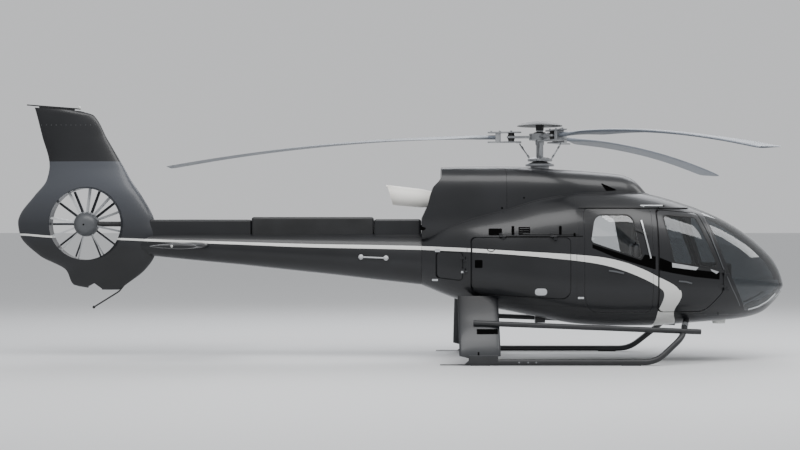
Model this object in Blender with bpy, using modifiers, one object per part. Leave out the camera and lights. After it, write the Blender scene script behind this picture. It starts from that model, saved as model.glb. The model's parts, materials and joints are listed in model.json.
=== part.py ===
"""Light single-engine helicopter: three-blade main rotor, shrouded tail rotor, skids.

Metres. +X is the nose, +Y port (left), +Z up. Shapes are drawn in heights above the
ground, and the airframe datum lowers them all, so that the world origin is the flat
underside of the belly hard point straight below the rotor mast.
"""
import math

import bmesh
import bpy
from mathutils import Matrix, Vector

for old in list(bpy.data.objects):
    bpy.data.objects.remove(old, do_unlink=True)

# Fits
FIT = 0.0003              # gap between pieces that touch
SHUT = 0.009              # gap round a door that opens
AFT_SHUT = 0.024          # the same at an aft edge, which moves aft as its door opens

# Driving sizes, heights from the ground
BELLY_HEIGHT = 0.50       # underside of the belly hard point
HUB_HEIGHT = 3.10         # plane of the rotor star
ROTOR_RADIUS = 5.345
BLADE_CHORD = 0.35
TIP_DROOP = 0.40          # a parked blade's tip below its root
FIRST_BLADE = 51.65       # blade nearest the nose, degrees from the nose towards port
CABIN_WALL = 0.030
HOLD_WALL = 0.022
GLASS = 0.008
FLOOR_HEIGHT = 0.64       # top of the cabin floor
BULKHEAD_X = 0.42         # back of the cabin
ROOF_SPLIT_X = 2.00       # the roof meets the nose frame
BOOM_JOINT_X = -1.66
BOOM_END_X = -5.70
BOOM_WALL = 0.014
COVER_WALL = 0.015
FIN_WALL = 0.016
DUCT_X = -6.355
DUCT_HEIGHT = 1.88
DUCT_RADIUS = 0.50
DUCT_STEPS = 40
TAIL_ROTOR_RADIUS = 0.488
SKID_SIDE = 1.20          # middle of a skid tube, each side
SKID_RADIUS = 0.040
STEP_SIDE = 0.98

HULL_POINTS = 24
LEFT_AND_RIGHT = ((1, "left"), (-1, "right"))

parts = bpy.data.collections.new("light_helicopter")
cutters = bpy.data.collections.new("cutters")
bpy.context.scene.collection.children.link(parts)
bpy.context.scene.collection.children.link(cutters)


def paint(name, hex_colour, roughness, metallic=0.0, alpha=1.0):
    """A Principled material from an sRGB hex colour."""
    channels = [int(hex_colour[i:i + 2], 16) / 255 for i in (0, 2, 4)]
    linear = [c / 12.92 if c <= 0.04045 else ((c + 0.055) / 1.055) ** 2.4 for c in channels]
    material = bpy.data.materials.new(name)
    material.use_nodes = True
    shader = material.node_tree.nodes["Principled BSDF"]
    shader.inputs["Base Color"].default_value = (*linear, 1.0)
    shader.inputs["Roughness"].default_value = roughness
    shader.inputs["Metallic"].default_value = metallic
    shader.inputs["Alpha"].default_value = alpha
    return material


CHARCOAL = paint("charcoal_enamel", "3C3E41", 0.30)
BLACK = paint("black_composite", "17181A", 0.55)
GREY = paint("grey_gear_paint", "77797C", 0.45)
STEEL = paint("machined_steel", "8C8E90", 0.35, 0.9)
EXHAUST = paint("heat_resistant_white", "DAD8D0", 0.5)
ACRYLIC = paint("acrylic_glazing", "B8C0C4", 0.05, alpha=0.35)
BLADE = paint("blade_grey", "5B5F66", 0.4)
LEATHER = paint("black_leather", "232324", 0.6)
LENS = paint("lamp_lens", "E8E8E4", 0.1)


def datum(name, place, parent=None):
    """An empty that carries pieces; place is in heights above the ground."""
    empty = bpy.data.objects.new(name, None)
    parts.objects.link(empty)
    empty.location = Vector(place)
    if parent:
        empty.parent = parent
    return empty


AIRFRAME = datum("airframe_datum", (0, 0, -BELLY_HEIGHT))


def put(name, mesh, material=None):
    """Make a mesh a named piece, or without a material a cutter."""
    thing = bpy.data.objects.new(name, mesh)
    thing.parent = AIRFRAME
    if material:
        parts.objects.link(thing)
        mesh.materials.clear()
        mesh.materials.append(material)
    else:
        cutters.objects.link(thing)
        thing.hide_render = True
        thing.display_type = "WIRE"
    return thing


def from_bmesh(name, bm, material=None):
    bmesh.ops.recalc_face_normals(bm, faces=bm.faces)
    mesh = bpy.data.meshes.new(name)
    bm.to_mesh(mesh)
    bm.free()
    return put(name, mesh, material)


def hang(pieces, carrier):
    """Parent pieces to an empty on their joint's axis; they stay where they are."""
    for piece in pieces:
        piece.data.transform(Matrix.Translation(-carrier.location))
        piece.parent = carrier


def loft(name, rings, material=None):
    """A closed skin over rings of equal length; its triangles mirror each other left and right."""
    bm = bmesh.new()
    rows = [[bm.verts.new(point) for point in ring] for ring in rings]
    for near, far in zip(rows, rows[1:]):
        for i in range(len(near)):
            j = (i + 1) % len(near)
            if near[i].co.y + near[j].co.y > 0:
                bm.faces.new((near[i], near[j], far[j]))
                bm.faces.new((near[i], far[j], far[i]))
            else:
                bm.faces.new((near[i], near[j], far[i]))
                bm.faces.new((near[j], far[j], far[i]))
    bm.faces.new(rows[0])
    bm.faces.new(rows[-1])
    return from_bmesh(name, bm, material)


def box(name, low, high, material=None, bevel=0.0, segments=2):
    bm = bmesh.new()
    bmesh.ops.create_cube(bm, size=1.0)
    low, high = Vector(low), Vector(high)
    bmesh.ops.scale(bm, vec=high - low, verts=bm.verts)
    bmesh.ops.translate(bm, vec=(low + high) / 2, verts=bm.verts)
    if bevel:
        bmesh.ops.bevel(bm, geom=bm.edges[:], offset=bevel, segments=segments, profile=0.5,
                        affect="EDGES", material=-1)
    return from_bmesh(name, bm, material)


def rod(name, start, end, radius, material=None, sides=16, end_radius=None):
    """A cylinder or cone between two points."""
    start, end = Vector(start), Vector(end)
    along = end - start
    bm = bmesh.new()
    bmesh.ops.create_cone(bm, cap_ends=True, segments=sides, radius1=radius,
                          radius2=radius if end_radius is None else end_radius,
                          depth=along.length)
    turn = along.to_track_quat("Z", "Y").to_matrix().to_4x4()
    bmesh.ops.transform(bm, matrix=Matrix.Translation((start + end) / 2) @ turn, verts=bm.verts)
    return from_bmesh(name, bm, material)


def turned(name, profile, material=None, steps=32):
    """Turn (radius, height) points about Z; the profile runs down its outer side."""
    mesh = bpy.data.meshes.new(name)
    points = [(radius, 0, height) for radius, height in profile]
    mesh.from_pydata(points, [(i, i + 1) for i in range(len(points) - 1)], [])
    thing = put(name, mesh, material)
    screw = thing.modifiers.new("turn", "SCREW")
    screw.steps = screw.render_steps = steps
    screw.use_merge_vertices = True
    screw.merge_threshold = 0.00001
    return thing


def rounded(corners, grow=0.0, steps=3):
    """Outline through (x, height, corner radius) rows, moved outwards by grow."""
    points = [Vector(corner[:2]) for corner in corners]
    area = sum(a.cross(b) for a, b in zip(points, points[1:] + points[:1]))
    turn = 1 if area > 0 else -1
    outline = []
    for i, corner in enumerate(corners):
        before = (points[i] - points[i - 1]).normalized()
        after = (points[(i + 1) % len(points)] - points[i]).normalized()
        normal_before = Vector((before.y, -before.x)) * turn
        normal_after = Vector((after.y, -after.x)) * turn
        middle = (normal_before + normal_after).normalized()
        tip = points[i] + middle * grow / middle.dot(normal_before)
        bend = before.angle(after)
        convex = before.cross(after) * turn > 0
        radius = max(corner[2] + (grow if convex else -grow), 0)
        if radius < 0.002:
            outline.append(tip)
            continue
        reach = radius * math.tan(bend / 2)
        start, end = tip - before * reach, tip + after * reach
        for k in range(steps + 1):
            t = k / steps
            outline.append(start * (1 - t) ** 2 + tip * 2 * t * (1 - t) + end * t ** 2)
    return outline


def prism(name, outline, side_from, side_to, material=None):
    """An (x, height) outline extruded across the aircraft."""
    bm = bmesh.new()
    face = bm.faces.new([bm.verts.new((x, side_from, z)) for x, z in outline])
    made = bmesh.ops.extrude_face_region(bm, geom=[face])
    moved = [v for v in made["geom"] if isinstance(v, bmesh.types.BMVert)]
    bmesh.ops.translate(bm, vec=(0, side_to - side_from, 0), verts=moved)
    return from_bmesh(name, bm, material)


def side_prism(name, outline, side, inner=0.02, outer=1.5):
    return prism(name, outline, side * inner, side * outer)


def tube(name, points, radius, material=None, bevel_resolution=2):
    """A round tube along points, made a mesh so that it can be cut or joined."""
    curve = bpy.data.curves.new(name, "CURVE")
    curve.dimensions = "3D"
    curve.bevel_depth = radius
    curve.bevel_resolution = bevel_resolution
    curve.use_fill_caps = True
    spline = curve.splines.new("POLY")
    spline.points.add(len(points) - 1)
    for spot, point in zip(spline.points, points):
        spot.co = (*point, 1)
    guide = bpy.data.objects.new(name + "_path", curve)
    cutters.objects.link(guide)
    evaluated = guide.evaluated_get(bpy.context.evaluated_depsgraph_get())
    mesh = bpy.data.meshes.new_from_object(evaluated)
    bpy.data.objects.remove(guide)
    bm = bmesh.new()
    bm.from_mesh(mesh)
    bpy.data.meshes.remove(mesh)
    bmesh.ops.remove_doubles(bm, verts=bm.verts, dist=0.00001)
    return from_bmesh(name, bm, material)


def bent_path(corners, steps=5):
    """A path through (x, y, height, bend reach) rows; a reach rounds that corner."""
    path = [Vector(corners[0][:3])]
    for before, corner, after in zip(corners, corners[1:], corners[2:]):
        tip = Vector(corner[:3])
        start = tip + (Vector(before[:3]) - tip).normalized() * corner[3]
        end = tip + (Vector(after[:3]) - tip).normalized() * corner[3]
        for k in range(steps + 1):
            t = k / steps
            path.append(start * (1 - t) ** 2 + tip * 2 * t * (1 - t) + end * t ** 2)
    path.append(Vector(corners[-1][:3]))
    return path


def boolean(piece, cutter, operation):
    modifier = piece.modifiers.new(cutter.name, "BOOLEAN")
    modifier.operation = operation
    modifier.solver = "EXACT"
    modifier.object = cutter


def cut(piece, *tools):
    for tool in tools:
        boolean(piece, tool, "DIFFERENCE")


def keep(piece, *tools):
    for tool in tools:
        boolean(piece, tool, "INTERSECT")


def fuse(piece, *tools):
    for tool in tools:
        boolean(piece, tool, "UNION")


def joined(name, things, material=None):
    """Copy the meshes of things that don't touch into one object."""
    bm = bmesh.new()
    for thing in things:
        bm.from_mesh(thing.data)
        bpy.data.objects.remove(thing)
    mesh = bpy.data.meshes.new(name)
    bm.to_mesh(mesh)
    bm.free()
    return put(name, mesh, material)


def smooth_rounds(piece, angle=40):
    piece.data.shade_smooth()
    piece.data.set_sharp_from_angle(angle=math.radians(angle))


# Fuselage sections
# x, keel height, roof height, half width, height of the widest point, squareness
HULL = (
    (BOOM_JOINT_X, 1.030, 1.760, 0.330, 1.400, 2.1),
    (-1.30, 0.880, 1.980, 0.520, 1.380, 2.7),
    (-0.95, 0.765, 2.080, 0.700, 1.340, 2.7),
    (-0.50, 0.677, 2.190, 0.860, 1.280, 2.6),
    (0.00, 0.579, 2.320, 0.960, 1.220, 2.6),
    (0.50, 0.492, 2.375, 1.005, 1.180, 2.7),
    (1.00, 0.466, 2.375, 1.015, 1.160, 2.7),
    (1.50, 0.468, 2.300, 1.010, 1.150, 2.6),
    (2.00, 0.500, 2.160, 0.965, 1.130, 2.5),
    (2.40, 0.530, 2.010, 0.870, 1.110, 2.4),
    (2.75, 0.562, 1.820, 0.730, 1.090, 2.3),
    (3.05, 0.634, 1.595, 0.540, 1.060, 2.2),
    (3.25, 0.790, 1.395, 0.345, 1.040, 2.1),
    (3.35, 0.915, 1.215, 0.200, 1.030, 2.0),
    (3.39, 0.990, 1.070, 0.070, 1.020, 2.0),
)
NOSE_CURVE_X = 2.0        # from here forward the wall also thickens along X
NOSE_X = HULL[-1][0]


def power(value, exponent):
    return math.copysign(abs(value) ** exponent, value)


def hull_ring(x, keel, roof, half, widest, square, inset):
    x -= inset * max(0.0, (x - NOSE_CURVE_X) / (NOSE_X - NOSE_CURVE_X))
    ring = []
    for i in range(HULL_POINTS):
        angle = math.tau * (i + 0.5) / HULL_POINTS
        across = (half - inset) * power(math.cos(angle), 2 / square)
        reach = (roof if math.sin(angle) > 0 else keel) - widest
        reach -= inset if reach > 0 else -inset
        ring.append((x, across, widest + abs(reach) * power(math.sin(angle), 2 / square)))
    return ring


def hull(name, inset, material=None):
    """The whole fuselage skin, moved in by inset."""
    return loft(name, [hull_ring(*row, inset) for row in HULL], material)


def hull_between(x):
    """Hull table row values at one x, as (keel, roof, half, widest, square)."""
    for near, far in zip(HULL, HULL[1:]):
        if near[0] <= x <= far[0]:
            t = (x - near[0]) / (far[0] - near[0])
            return [a + (b - a) * t for a, b in zip(near[1:], far[1:])]
    return HULL[-1][1:]


def hull_side(x, height):
    """Half width of the outer skin at a place on its side."""
    keel, roof, half, widest, square = hull_between(x)
    reach = (roof if height > widest else keel) - widest
    return half * (1 - abs((height - widest) / reach) ** square) ** (1 / square)


CABIN_INNER = hull("cabin_inner_skin", CABIN_WALL)
HOLD_INNER = hull("hold_inner_skin", HOLD_WALL)
GLASS_INNER = hull("glass_inner_skin", GLASS)
HULL_CLEAR = hull("hull_with_clearance", -FIT)

# Door and window outlines: x, height, corner radius
AFT_EDGE_X = 1.490        # aft edge of a front doorway
FRONT_DOORWAY = ((AFT_EDGE_X, 0.690, 0.08), (2.150, 0.690, 0.20), (2.395, 0.960, 0.12),
                 (2.395, 1.270, 0.05), (2.100, 2.030, 0.06), (AFT_EDGE_X, 2.080, 0.05))
FRONT_WINDOW = ((1.715, 1.370, 0.04), (2.320, 1.290, 0.05), (2.050, 1.965, 0.06),
                (1.590, 2.000, 0.05))
REAR_DOORWAY = ((0.600, 0.690, 0.14), (1.430, 0.690, 0.08), (1.430, 2.085, 0.05),
                (0.510, 2.085, 0.06), (0.510, 0.900, 0.10))
REAR_WINDOW = ((0.600, 1.640, 0.05), (1.285, 1.405, 0.04), (1.155, 2.000, 0.12),
               (0.665, 1.995, 0.12))
WINDSHIELD = ((2.175, 2.060, 0.02), (2.465, 1.260, 0.20), (2.745, 0.700, 0.03),
              (2.860, 0.700, 0.00), (3.020, 0.745, 0.00), (3.180, 0.820, 0.00),
              (3.290, 0.900, 0.00), (3.345, 0.965, 0.00), (3.500, 1.200, 0.00),
              (3.500, 2.400, 0.00), (2.175, 2.400, 0.00))
SIDE_HOLD = ((-1.000, 0.930, 0.12), (0.330, 0.860, 0.12), (0.330, 1.700, 0.06),
             (-1.000, 1.700, 0.06))
REAR_HOLD = ((-1.470, 1.140, 0.05), (-1.100, 1.100, 0.05), (-1.100, 1.500, 0.05),
             (-1.470, 1.500, 0.05))
POST_HALF = 0.035         # half width of the windshield's centre post
FAR = 4.0


def slab(name, x_from, x_to, z_from=-1.0, z_to=FAR):
    return box(name, (x_from, -2, z_from), (x_to, 2, z_to))


def opening(name, corners, side, grow=0.0, inner=0.02):
    return side_prism(name, rounded(corners, grow), side, inner)


doorways, window_holes, hold_holes, screens = [], {}, {}, []
for side, word in LEFT_AND_RIGHT:
    doorways.append(opening("front_doorway_" + word, FRONT_DOORWAY, side))
    doorways.append(opening("rear_doorway_" + word, REAR_DOORWAY, side))
    window_holes["front_" + word] = opening("front_window_" + word, FRONT_WINDOW, side)
    window_holes["rear_" + word] = opening("rear_window_" + word, REAR_WINDOW, side)
    hold_holes[word] = opening("side_hold_" + word, SIDE_HOLD, side, inner=0.10)
    screens.append(opening("screen_" + word, WINDSHIELD, side, inner=POST_HALF))
REAR_HOLD_HOLE = opening("rear_hold_hole", REAR_HOLD, -1, inner=0.10)


# Hinges. Each pin's axis is shared by a fixed knuckle and a moving one, end to end.
KNUCKLE = 0.012
KNUCKLE_LENGTH = 0.045
FRONT_HINGE_X = 2.410
FRONT_HINGE_SIDE = hull_side(FRONT_HINGE_X, 1.10) + 0.020
FRONT_HINGE_HEIGHTS = (1.02, 1.22)


def front_hinge(side, height, moving):
    """Knuckle with its leaf; the moving one is above, its leaf runs aft to the door."""
    y = side * FRONT_HINGE_SIDE
    low = height + FIT / 2 if moving else height - KNUCKLE_LENGTH
    high = height + KNUCKLE_LENGTH if moving else height - FIT / 2
    name = f"front_hinge_{side}_{height}_{moving}"
    barrel = rod(name, (FRONT_HINGE_X, y, low), (FRONT_HINGE_X, y, high), KNUCKLE, sides=8)
    reach = -0.100 if moving else 0.060
    thick = (0.006, -0.012) if moving else (0.004, -0.034)
    ends = sorted((FRONT_HINGE_X, FRONT_HINGE_X + reach))
    walls = sorted((y + side * thick[0], y + side * thick[1]))
    leaf = box(name + "_leaf", (ends[0], walls[0], low + 0.004),
               (ends[1], walls[1], high - 0.004))
    return barrel, leaf


def cabin():
    """Floor, roof with its door pillars, and the nose frame with its posts."""
    floor = hull("cabin_floor", 0, CHARCOAL)
    keep(floor, slab("floor_region", BULKHEAD_X, FAR, -1.0, FLOOR_HEIGHT))
    roof = hull("cabin_roof", 0, CHARCOAL)
    keep(roof, slab("roof_region", BULKHEAD_X, ROOF_SPLIT_X - FIT, FLOOR_HEIGHT + FIT))
    cut(roof, CABIN_INNER, *doorways)
    nose = hull("nose_frame", 0, CHARCOAL)
    keep(nose, slab("nose_region", ROOF_SPLIT_X, FAR, FLOOR_HEIGHT + FIT))
    cut(nose, CABIN_INNER, *doorways, *screens)
    for side, word in LEFT_AND_RIGHT:
        for height in FRONT_HINGE_HEIGHTS:
            fuse(nose, *front_hinge(side, height, moving=False))
        pane = hull("windshield_" + word, 0, ACRYLIC)
        keep(pane, opening("screen_fit_" + word, WINDSHIELD, side, -FIT, POST_HALF + FIT))
        cut(pane, GLASS_INNER)


def front_doors():
    """Hinged doors with their windows, each on a vertical pin at its front edge."""
    door_corners = list(FRONT_DOORWAY)
    extra = AFT_SHUT - SHUT
    door_corners[0] = (AFT_EDGE_X + extra, *FRONT_DOORWAY[0][1:])
    door_corners[-1] = (AFT_EDGE_X + extra, *FRONT_DOORWAY[-1][1:])
    for side, word in LEFT_AND_RIGHT:
        door = hull("front_door_" + word, 0, CHARCOAL)
        keep(door, opening("front_door_outline_" + word, door_corners, side, -SHUT))
        cut(door, CABIN_INNER, window_holes["front_" + word])
        for height in FRONT_HINGE_HEIGHTS:
            fuse(door, *front_hinge(side, height, moving=True))
        pane = hull("front_window_glass_" + word, 0, ACRYLIC)
        keep(pane, opening("front_glass_fit_" + word, FRONT_WINDOW, side, -FIT))
        cut(pane, GLASS_INNER)
        pin = datum("front_door_pin_" + word,
                    (FRONT_HINGE_X, side * FRONT_HINGE_SIDE, FRONT_HINGE_HEIGHTS[0]), AIRFRAME)
        hang((door, pane), pin)


def rear_doors():
    """Plug doors that slide aft on a rail, shown shut."""
    for side, word in LEFT_AND_RIGHT:
        door = hull("rear_door_" + word, 0, CHARCOAL)
        keep(door, opening("rear_door_outline_" + word, REAR_DOORWAY, side, -FIT))
        cut(door, CABIN_INNER, window_holes["rear_" + word])
        pane = hull("rear_window_glass_" + word, 0, ACRYLIC)
        keep(pane, opening("rear_glass_fit_" + word, REAR_WINDOW, side, -FIT))
        cut(pane, GLASS_INNER)


def mid_fuselage():
    """Baggage holds behind the cabin, open at their doors, and the belly hard point."""
    body = hull("mid_fuselage", 0, CHARCOAL)
    keep(body, slab("mid_region", -2.0, BULKHEAD_X - FIT))
    hollow = hull("hold_space", HOLD_WALL)
    keep(hollow, slab("hold_space_region", BOOM_JOINT_X + 0.05, BULKHEAD_X - 0.03))
    cut(body, hollow, *hold_holes.values(), REAR_HOLD_HOLE)
    pad = 0.07
    fuse(body, box("belly_hard_point", (-pad, -pad, BELLY_HEIGHT), (pad, pad, 0.585)))
    for side, word in LEFT_AND_RIGHT:
        for along in SIDE_HINGES_X:
            fuse(body, *hold_hinge(side, along, moving=False))
    for height in REAR_HINGE_HEIGHTS:
        fuse(body, *rear_hold_hinge(height, moving=False))


# Side baggage doors: the pin line lies outside the skin, clear of its bulge
SIDE_HINGE_HEIGHT = 1.712
SIDE_HINGES_X = (-0.58, 0.10)
SIDE_ENDS_X = (-1.0, 0.33)
END_SIDES = [hull_side(x, 1.70) for x in SIDE_ENDS_X]
SIDE_SLOPE = (END_SIDES[1] - END_SIDES[0]) / (SIDE_ENDS_X[1] - SIDE_ENDS_X[0])
BULGE = max(hull_side(x, 1.70) - END_SIDES[0] - SIDE_SLOPE * (x - SIDE_ENDS_X[0])
            for x in [SIDE_ENDS_X[0] + 0.07 * k for k in range(20)])
SIDE_OFFSET = END_SIDES[0] + BULGE + 0.018


def pin_side(x):
    """How far out the side door's pin line is at x."""
    return SIDE_OFFSET + SIDE_SLOPE * (x - SIDE_ENDS_X[0])


def hold_hinge(side, x, moving):
    """The fixed knuckle lies aft of x with its leaf up, the moving one ahead with it down."""
    near = x + (FIT / 2 if moving else -KNUCKLE_LENGTH)
    far = x + (KNUCKLE_LENGTH if moving else -FIT / 2)
    name = f"hold_hinge_{side}_{x}_{moving}"
    ends = [(at, side * pin_side(at), SIDE_HINGE_HEIGHT) for at in (near, far)]
    barrel = rod(name, *ends, KNUCKLE, sides=8)
    way = -1 if moving else 1
    far_height = SIDE_HINGE_HEIGHT + way * 0.045
    tab = sorted((side * (pin_side(x) + 0.004), side * (pin_side(x) - 0.010)))
    foot = sorted((side * pin_side(x), side * (hull_side(x, far_height) - 0.018)))
    tab_heights = sorted((SIDE_HINGE_HEIGHT, far_height))
    foot_heights = sorted((SIDE_HINGE_HEIGHT + way * 0.024, far_height))
    leaf = box(name + "_tab", (near + 0.004, tab[0], tab_heights[0]),
               (far - 0.004, tab[1], tab_heights[1]))
    base = box(name + "_foot", (near + 0.005, foot[0], foot_heights[0]),
               (far - 0.005, foot[1], foot_heights[1] - 0.001))
    return barrel, leaf, base


def side_hold_doors():
    for side, word in LEFT_AND_RIGHT:
        door = hull("side_baggage_door_" + word, 0, CHARCOAL)
        keep(door, opening("side_door_outline_" + word, SIDE_HOLD, side, -SHUT, 0.10))
        keep(door, slab("side_door_aft_trim_" + word, SIDE_ENDS_X[0] + AFT_SHUT, FAR))
        cut(door, HOLD_INNER)
        for along in SIDE_HINGES_X:
            fuse(door, *hold_hinge(side, along, moving=True))
        at = SIDE_HINGES_X[0]
        hang((door,), datum("side_hold_pin_" + word,
                            (at, side * pin_side(at), SIDE_HINGE_HEIGHT), AIRFRAME))


# Rear baggage door, starboard only, on an upright pin at its front edge
REAR_HINGE_X = -1.086
REAR_HINGE_HEIGHTS = (1.24, 1.40)
REAR_HINGE_SIDE = hull_side(REAR_HINGE_X, 1.30) + 0.020


def rear_hold_hinge(height, moving):
    low = height + (FIT / 2 if moving else -0.035)
    high = height + (0.035 if moving else -FIT / 2)
    name = f"rear_hold_hinge_{height}_{moving}"
    y = -REAR_HINGE_SIDE
    barrel = rod(name, (REAR_HINGE_X, y, low), (REAR_HINGE_X, y, high), KNUCKLE, sides=8)
    reach = -0.056 if moving else 0.050
    ends = sorted((REAR_HINGE_X, REAR_HINGE_X + reach))
    tab = box(name + "_tab", (ends[0], y - 0.004, low + 0.004), (ends[1], y + 0.009, high - 0.004))
    foot_ends = sorted((REAR_HINGE_X + reach, REAR_HINGE_X + reach * 0.55))
    foot = box(name + "_foot", (foot_ends[0], y, low + 0.005),
               (foot_ends[1], y + (0.048 if moving else 0.034), high - 0.005))
    return barrel, tab, foot


def rear_hold_door():
    door = hull("rear_baggage_door", 0, CHARCOAL)
    keep(door, opening("rear_hold_outline", REAR_HOLD, -1, -SHUT, 0.10))
    keep(door, slab("rear_hold_aft_trim", REAR_HOLD[0][0] + AFT_SHUT, FAR))
    cut(door, HOLD_INNER)
    for height in REAR_HINGE_HEIGHTS:
        fuse(door, *rear_hold_hinge(height, moving=True))
    hang((door,), datum("rear_hold_pin", (REAR_HINGE_X, -REAR_HINGE_SIDE,
                                          REAR_HINGE_HEIGHTS[0]), AIRFRAME))


# Cowling sections: x, top height, half width
COWL = (
    (-1.70, 2.660, 0.400),
    (-1.385, 2.672, 0.430),
    (-0.95, 2.682, 0.500),
    (-0.50, 2.682, 0.540),
    (0.284, 2.640, 0.530),
    (0.845, 2.597, 0.500),
    (1.100, 2.570, 0.470),
    (1.266, 2.512, 0.420),
    (1.510, 2.270, 0.330),
)
COWL_FOOT = 1.60          # sections reach down into the fuselage and are cut by it
COWL_SQUARE = 3.2
COWL_WALL = 0.020
COWL_SPLIT_X = -0.50
COWL_POINTS = 20
# Side view of the aft end: x, height, corner radius
COWL_BACK = ((-1.658, 1.50, 0.0), (-1.658, 1.96, 0.0), (-1.575, 2.140, 0.0), (-1.540, 2.290, 0.0),
             (-1.495, 2.400, 0.0), (-1.420, 2.475, 0.0), (-1.385, 2.530, 0.0), (-1.385, 2.900, 0.0),
             (2.0, 2.900, 0.0), (2.0, 1.50, 0.0))
# Triangular air inlet on each flank: x, height, corner radius
INLET = ((0.787, 2.450, 0.012), (0.869, 2.330, 0.012), (1.035, 2.340, 0.012))


def cowl_ring(x, top, half, inset):
    ring = []
    for i in range(COWL_POINTS):
        angle = math.tau * (i + 0.5) / COWL_POINTS
        across = (half - inset) * power(math.cos(angle), 2 / COWL_SQUARE)
        middle = (top + COWL_FOOT) / 2
        rise = (top - inset - middle) * power(math.sin(angle), 2 / COWL_SQUARE)
        ring.append((x - (inset if x > 1.2 else 0), across, middle + rise))
    return ring


EXHAUST_HEIGHT = 2.215    # pipe axis where it leaves the cowling
EXHAUST_TILT = 6.0        # degrees, the open end is higher
EXHAUST_ROOT_X = -1.42
EXHAUST_AXIS = Vector((-math.cos(math.radians(EXHAUST_TILT)), 0,
                       math.sin(math.radians(EXHAUST_TILT))))


def on_exhaust(distance):
    return Vector((EXHAUST_ROOT_X, 0, EXHAUST_HEIGHT)) + EXHAUST_AXIS * distance


# distance along the pipe, outer radius
EXHAUST_ROWS = ((-0.06, 0.112), (0.12, 0.112), (0.23, 0.128), (0.75, 0.136))
EXHAUST_WALL = 0.006


def exhaust_turned(name, rows, material=None):
    """A solid turned about the exhaust's axis from (radius, distance) rows."""
    profile = [(0, rows[-1][1])] + list(rows[::-1]) + [(0, rows[0][1])]
    thing = turned(name, profile, material, 24)
    thing.location = on_exhaust(0)
    thing.rotation_euler = EXHAUST_AXIS.to_track_quat("Z", "Y").to_euler()
    return thing


def cowlings():
    """Transmission cowling in front and engine cowling behind, open to the deck below."""
    inner = loft("cowl_inner", [cowl_ring(*row, COWL_WALL) for row in COWL])
    back = prism("cowl_side_view", rounded(COWL_BACK), -1, 1)
    hollow = prism("cowl_inner_side_view", rounded(COWL_BACK, -COWL_WALL), -0.8, 0.8)
    keep(inner, hollow)
    pieces = (("transmission_cowling", COWL_SPLIT_X + FIT, FAR),
              ("engine_cowling", -FAR, COWL_SPLIT_X))
    for name, x_from, x_to in pieces:
        cowl = loft(name, [cowl_ring(*row, 0) for row in COWL], CHARCOAL)
        keep(cowl, slab(name + "_region", x_from, x_to))
        if name == "engine_cowling":
            keep(cowl, back)
            cut(cowl, inner, HULL_CLEAR)
            cut(cowl, exhaust_turned("exhaust_hole", [(radius + FIT, distance)
                                                      for distance, radius in EXHAUST_ROWS]))
        else:
            cut(cowl, inner, HULL_CLEAR)
            cut(cowl, rod("mast_hole", (0, 0, 2.3), (0, 0, 3.0), MAST_COLLAR + 0.008, sides=28))
            cut(cowl, *[side_prism(f"inlet_{side}", rounded(INLET), side, 0.3, 0.7)
                        for side, word in LEFT_AND_RIGHT])


def exhaust():
    """Round pipe that widens behind the cowling; its open end is cut on a slant."""
    pipe = exhaust_turned("exhaust_pipe", [(radius, at) for at, radius in EXHAUST_ROWS], EXHAUST)
    bore_rows = [(radius - EXHAUST_WALL, at) for at, radius in EXHAUST_ROWS]
    bore_rows[0] = (bore_rows[0][0], bore_rows[0][1] - 0.01)
    bore_rows[-1] = (bore_rows[-1][0], bore_rows[-1][1] + 0.01)
    cut(pipe, exhaust_turned("exhaust_bore", bore_rows))
    slant = prism("exhaust_slant", [(-2.134, 2.40), (-2.030, 2.05), (-3.0, 2.05), (-3.0, 2.40)],
                  -0.5, 0.5)
    cut(pipe, slant)
    smooth_rounds(pipe)


MAST_RADIUS = 0.050
MAST_COLLAR = 0.130
GEARBOX_TOP = 2.600


def drive_block():
    """Engine and main gearbox as plain blocks on the deck, inside the cowlings."""
    engine = box("engine_block", (-1.22, -0.24, 1.80), (-0.56, 0.24, 2.50), STEEL, 0.03, 1)
    cut(engine, HULL_CLEAR)
    gearbox = rod("main_gearbox", (0, 0, 2.10), (0, 0, GEARBOX_TOP), 0.20, STEEL, 20)
    cut(gearbox, HULL_CLEAR)


# Boom sections: x, bottom height, top height, half width
BOOM = (
    (BOOM_JOINT_X - FIT, 1.030, 1.760, 0.330),
    (-2.24, 1.095, 1.757, 0.300),
    (-2.80, 1.160, 1.755, 0.272),
    (-3.50, 1.235, 1.754, 0.240),
    (-4.20, 1.310, 1.754, 0.210),
    (-4.90, 1.378, 1.754, 0.180),
    (BOOM_END_X, 1.460, 1.754, 0.140),
)
BOOM_SQUARE = 2.1
BOOM_POINTS = 20


def boom_ring(x, bottom, top, half, inset):
    middle = (bottom + top) / 2
    ring = []
    for i in range(BOOM_POINTS):
        angle = math.tau * (i + 0.5) / BOOM_POINTS
        ring.append((x, (half - inset) * power(math.cos(angle), 2 / BOOM_SQUARE),
                     middle + (top - middle - inset) * power(math.sin(angle), 2 / BOOM_SQUARE)))
    return ring


def boom_solid(name, inset, material=None, overrun=0.0):
    rows = [list(row) for row in BOOM]
    rows[0][0] += overrun
    rows[-1][0] -= overrun
    return loft(name, [boom_ring(*row, inset) for row in rows], material)


BOOM_CLEAR = boom_solid("boom_with_clearance", -FIT)

# Covers on top of the boom: name, front x, aft x, top height, half width, material
SPINE = (
    ("spine_fairing", BOOM_JOINT_X - 2 * FIT, -2.325, 1.950, 0.120, CHARCOAL),
    ("driveshaft_cover", -2.325, -4.036, 1.979, 0.105, BLACK),
    ("spine_aft_cover", -4.036, -5.470, 1.944, 0.095, CHARCOAL),
)


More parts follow.
